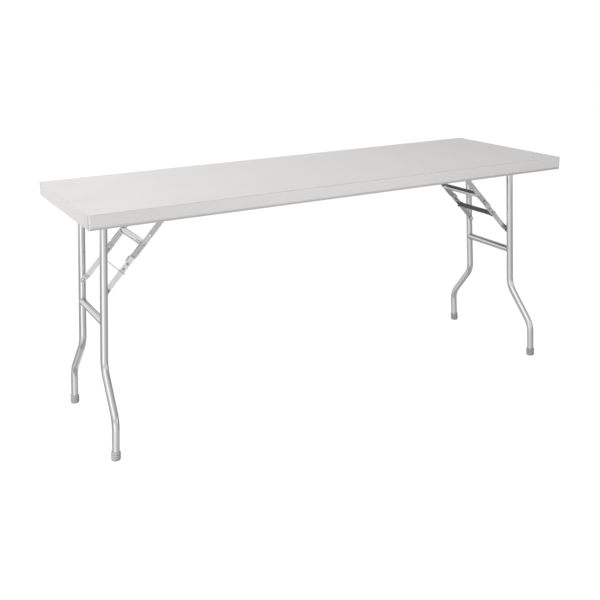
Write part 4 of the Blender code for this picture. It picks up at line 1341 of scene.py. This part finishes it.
# soft surround light: brighter to the left, falling off to the right
world = bpy.data.worlds.new("studio")
scene.world = world
world.use_nodes = True
n = Nodes(world.node_tree)
bg = world.node_tree.nodes["Background"]
gen = n.add("ShaderNodeTexCoord").outputs["Generated"]
sep = n.add("ShaderNodeSeparateXYZ")
n.put(sep.inputs[0], gen)
dx, dy, dz = (sep.outputs[i] for i in range(3))
rise = n.ramp(dx, -0.20, 0.20, 0.98, 1.42)
side = n.math("MULTIPLY", rise, n.ramp(dx, 0.25, 1.00, 1.0, 0.55, smooth=False))
overhead = n.ramp(dx, 0.15, 0.60, 0.62, 0.95)
over = n.mix(n.ramp(dz, 0.58, 0.74), side, overhead)
behind = n.math("MULTIPLY", n.ramp(dz, 0.42, 0.54), n.ramp(dz, 0.86, 0.94, 1.0, 0.0))
behind = n.math("MULTIPLY", behind, n.ramp(dy, 0.15, 0.45))
over = n.mix(behind, over, 0.47)
ahead = curve(n, dx, [(-1.0, 0.90), (-0.86, 1.10), (-0.70, 1.62), (-0.44, 1.72), (-0.32, 1.20), (-0.12, 0.94), (0.05, 0.87),
                      (0.30, 0.80), (0.50, 0.72), (0.82, 0.42), (1.0, 0.34)], 1.0, 1.0)
over = n.mix(n.math("MULTIPLY", n.ramp(dy, -0.22, -0.06, 1.0, 0.0), n.ramp(dz, 0.90, 0.98, 1.0, 0.0)), over, ahead)
under = n.ramp(dx, -0.7, 0.7, 0.80, 0.02, smooth=False)
n.put(bg.inputs["Strength"], n.mix(n.ramp(dz, -0.02, 0.02, 1.0, 0.0), over, under))
bg.inputs["Color"].default_value = (1.0, 1.0, 1.0, 1.0)


def soft_light(name, at, aim, size, power):
    data = bpy.data.lights.new(name, "AREA")
    data.shape = "RECTANGLE"
    data.size, data.size_y = size
    data.energy = power
    ob = bpy.data.objects.new(name, data)
    scene.collection.objects.link(ob)
    ob.location = at
    ob.rotation_mode = "QUATERNION"
    ob.rotation_quaternion = (Vector(aim) - Vector(at)).to_track_quat("-Z", "Y")
    ob.visible_glossy = False
    ob.visible_camera = False
    return ob


soft_light("key_softbox", (-2.6, -2.2, 3.0), (0, 0, 0.4), (2.4, 1.8), 122.0)
soft_light("fill_softbox", (2.8, -1.6, 2.4), (0, 0, 0.4), (2.0, 2.0), 1.5)

# ===================================================================== camera
yaw, pitch, roll, focal = math.radians(28.18), math.radians(18.68), math.radians(-0.9661), 883.1
f = Vector((math.sin(yaw) * math.cos(pitch), math.cos(yaw) * math.cos(pitch), -math.sin(pitch)))
r = Vector((math.cos(yaw), -math.sin(yaw), 0.0))
u = r.cross(f)
r2 = r * math.cos(roll) + u * math.sin(roll)
u2 = u * math.cos(roll) - r * math.sin(roll)
cam = bpy.data.objects.new("camera", bpy.data.cameras.new("camera"))
scene.collection.objects.link(cam)
cam.matrix_world = Matrix(((r2.x, u2.x, -f.x, -1.557), (r2.y, u2.y, -f.y, -2.795), (r2.z, u2.z, -f.z, 1.403), (0, 0, 0, 1)))
cam.data.sensor_width = 36.0
cam.data.lens = focal * 36.0 / 600.0
cam.data.clip_start, cam.data.clip_end = 0.05, 200.0
scene.camera = cam

# ===================================================================== update
bpy.context.view_layer.update()
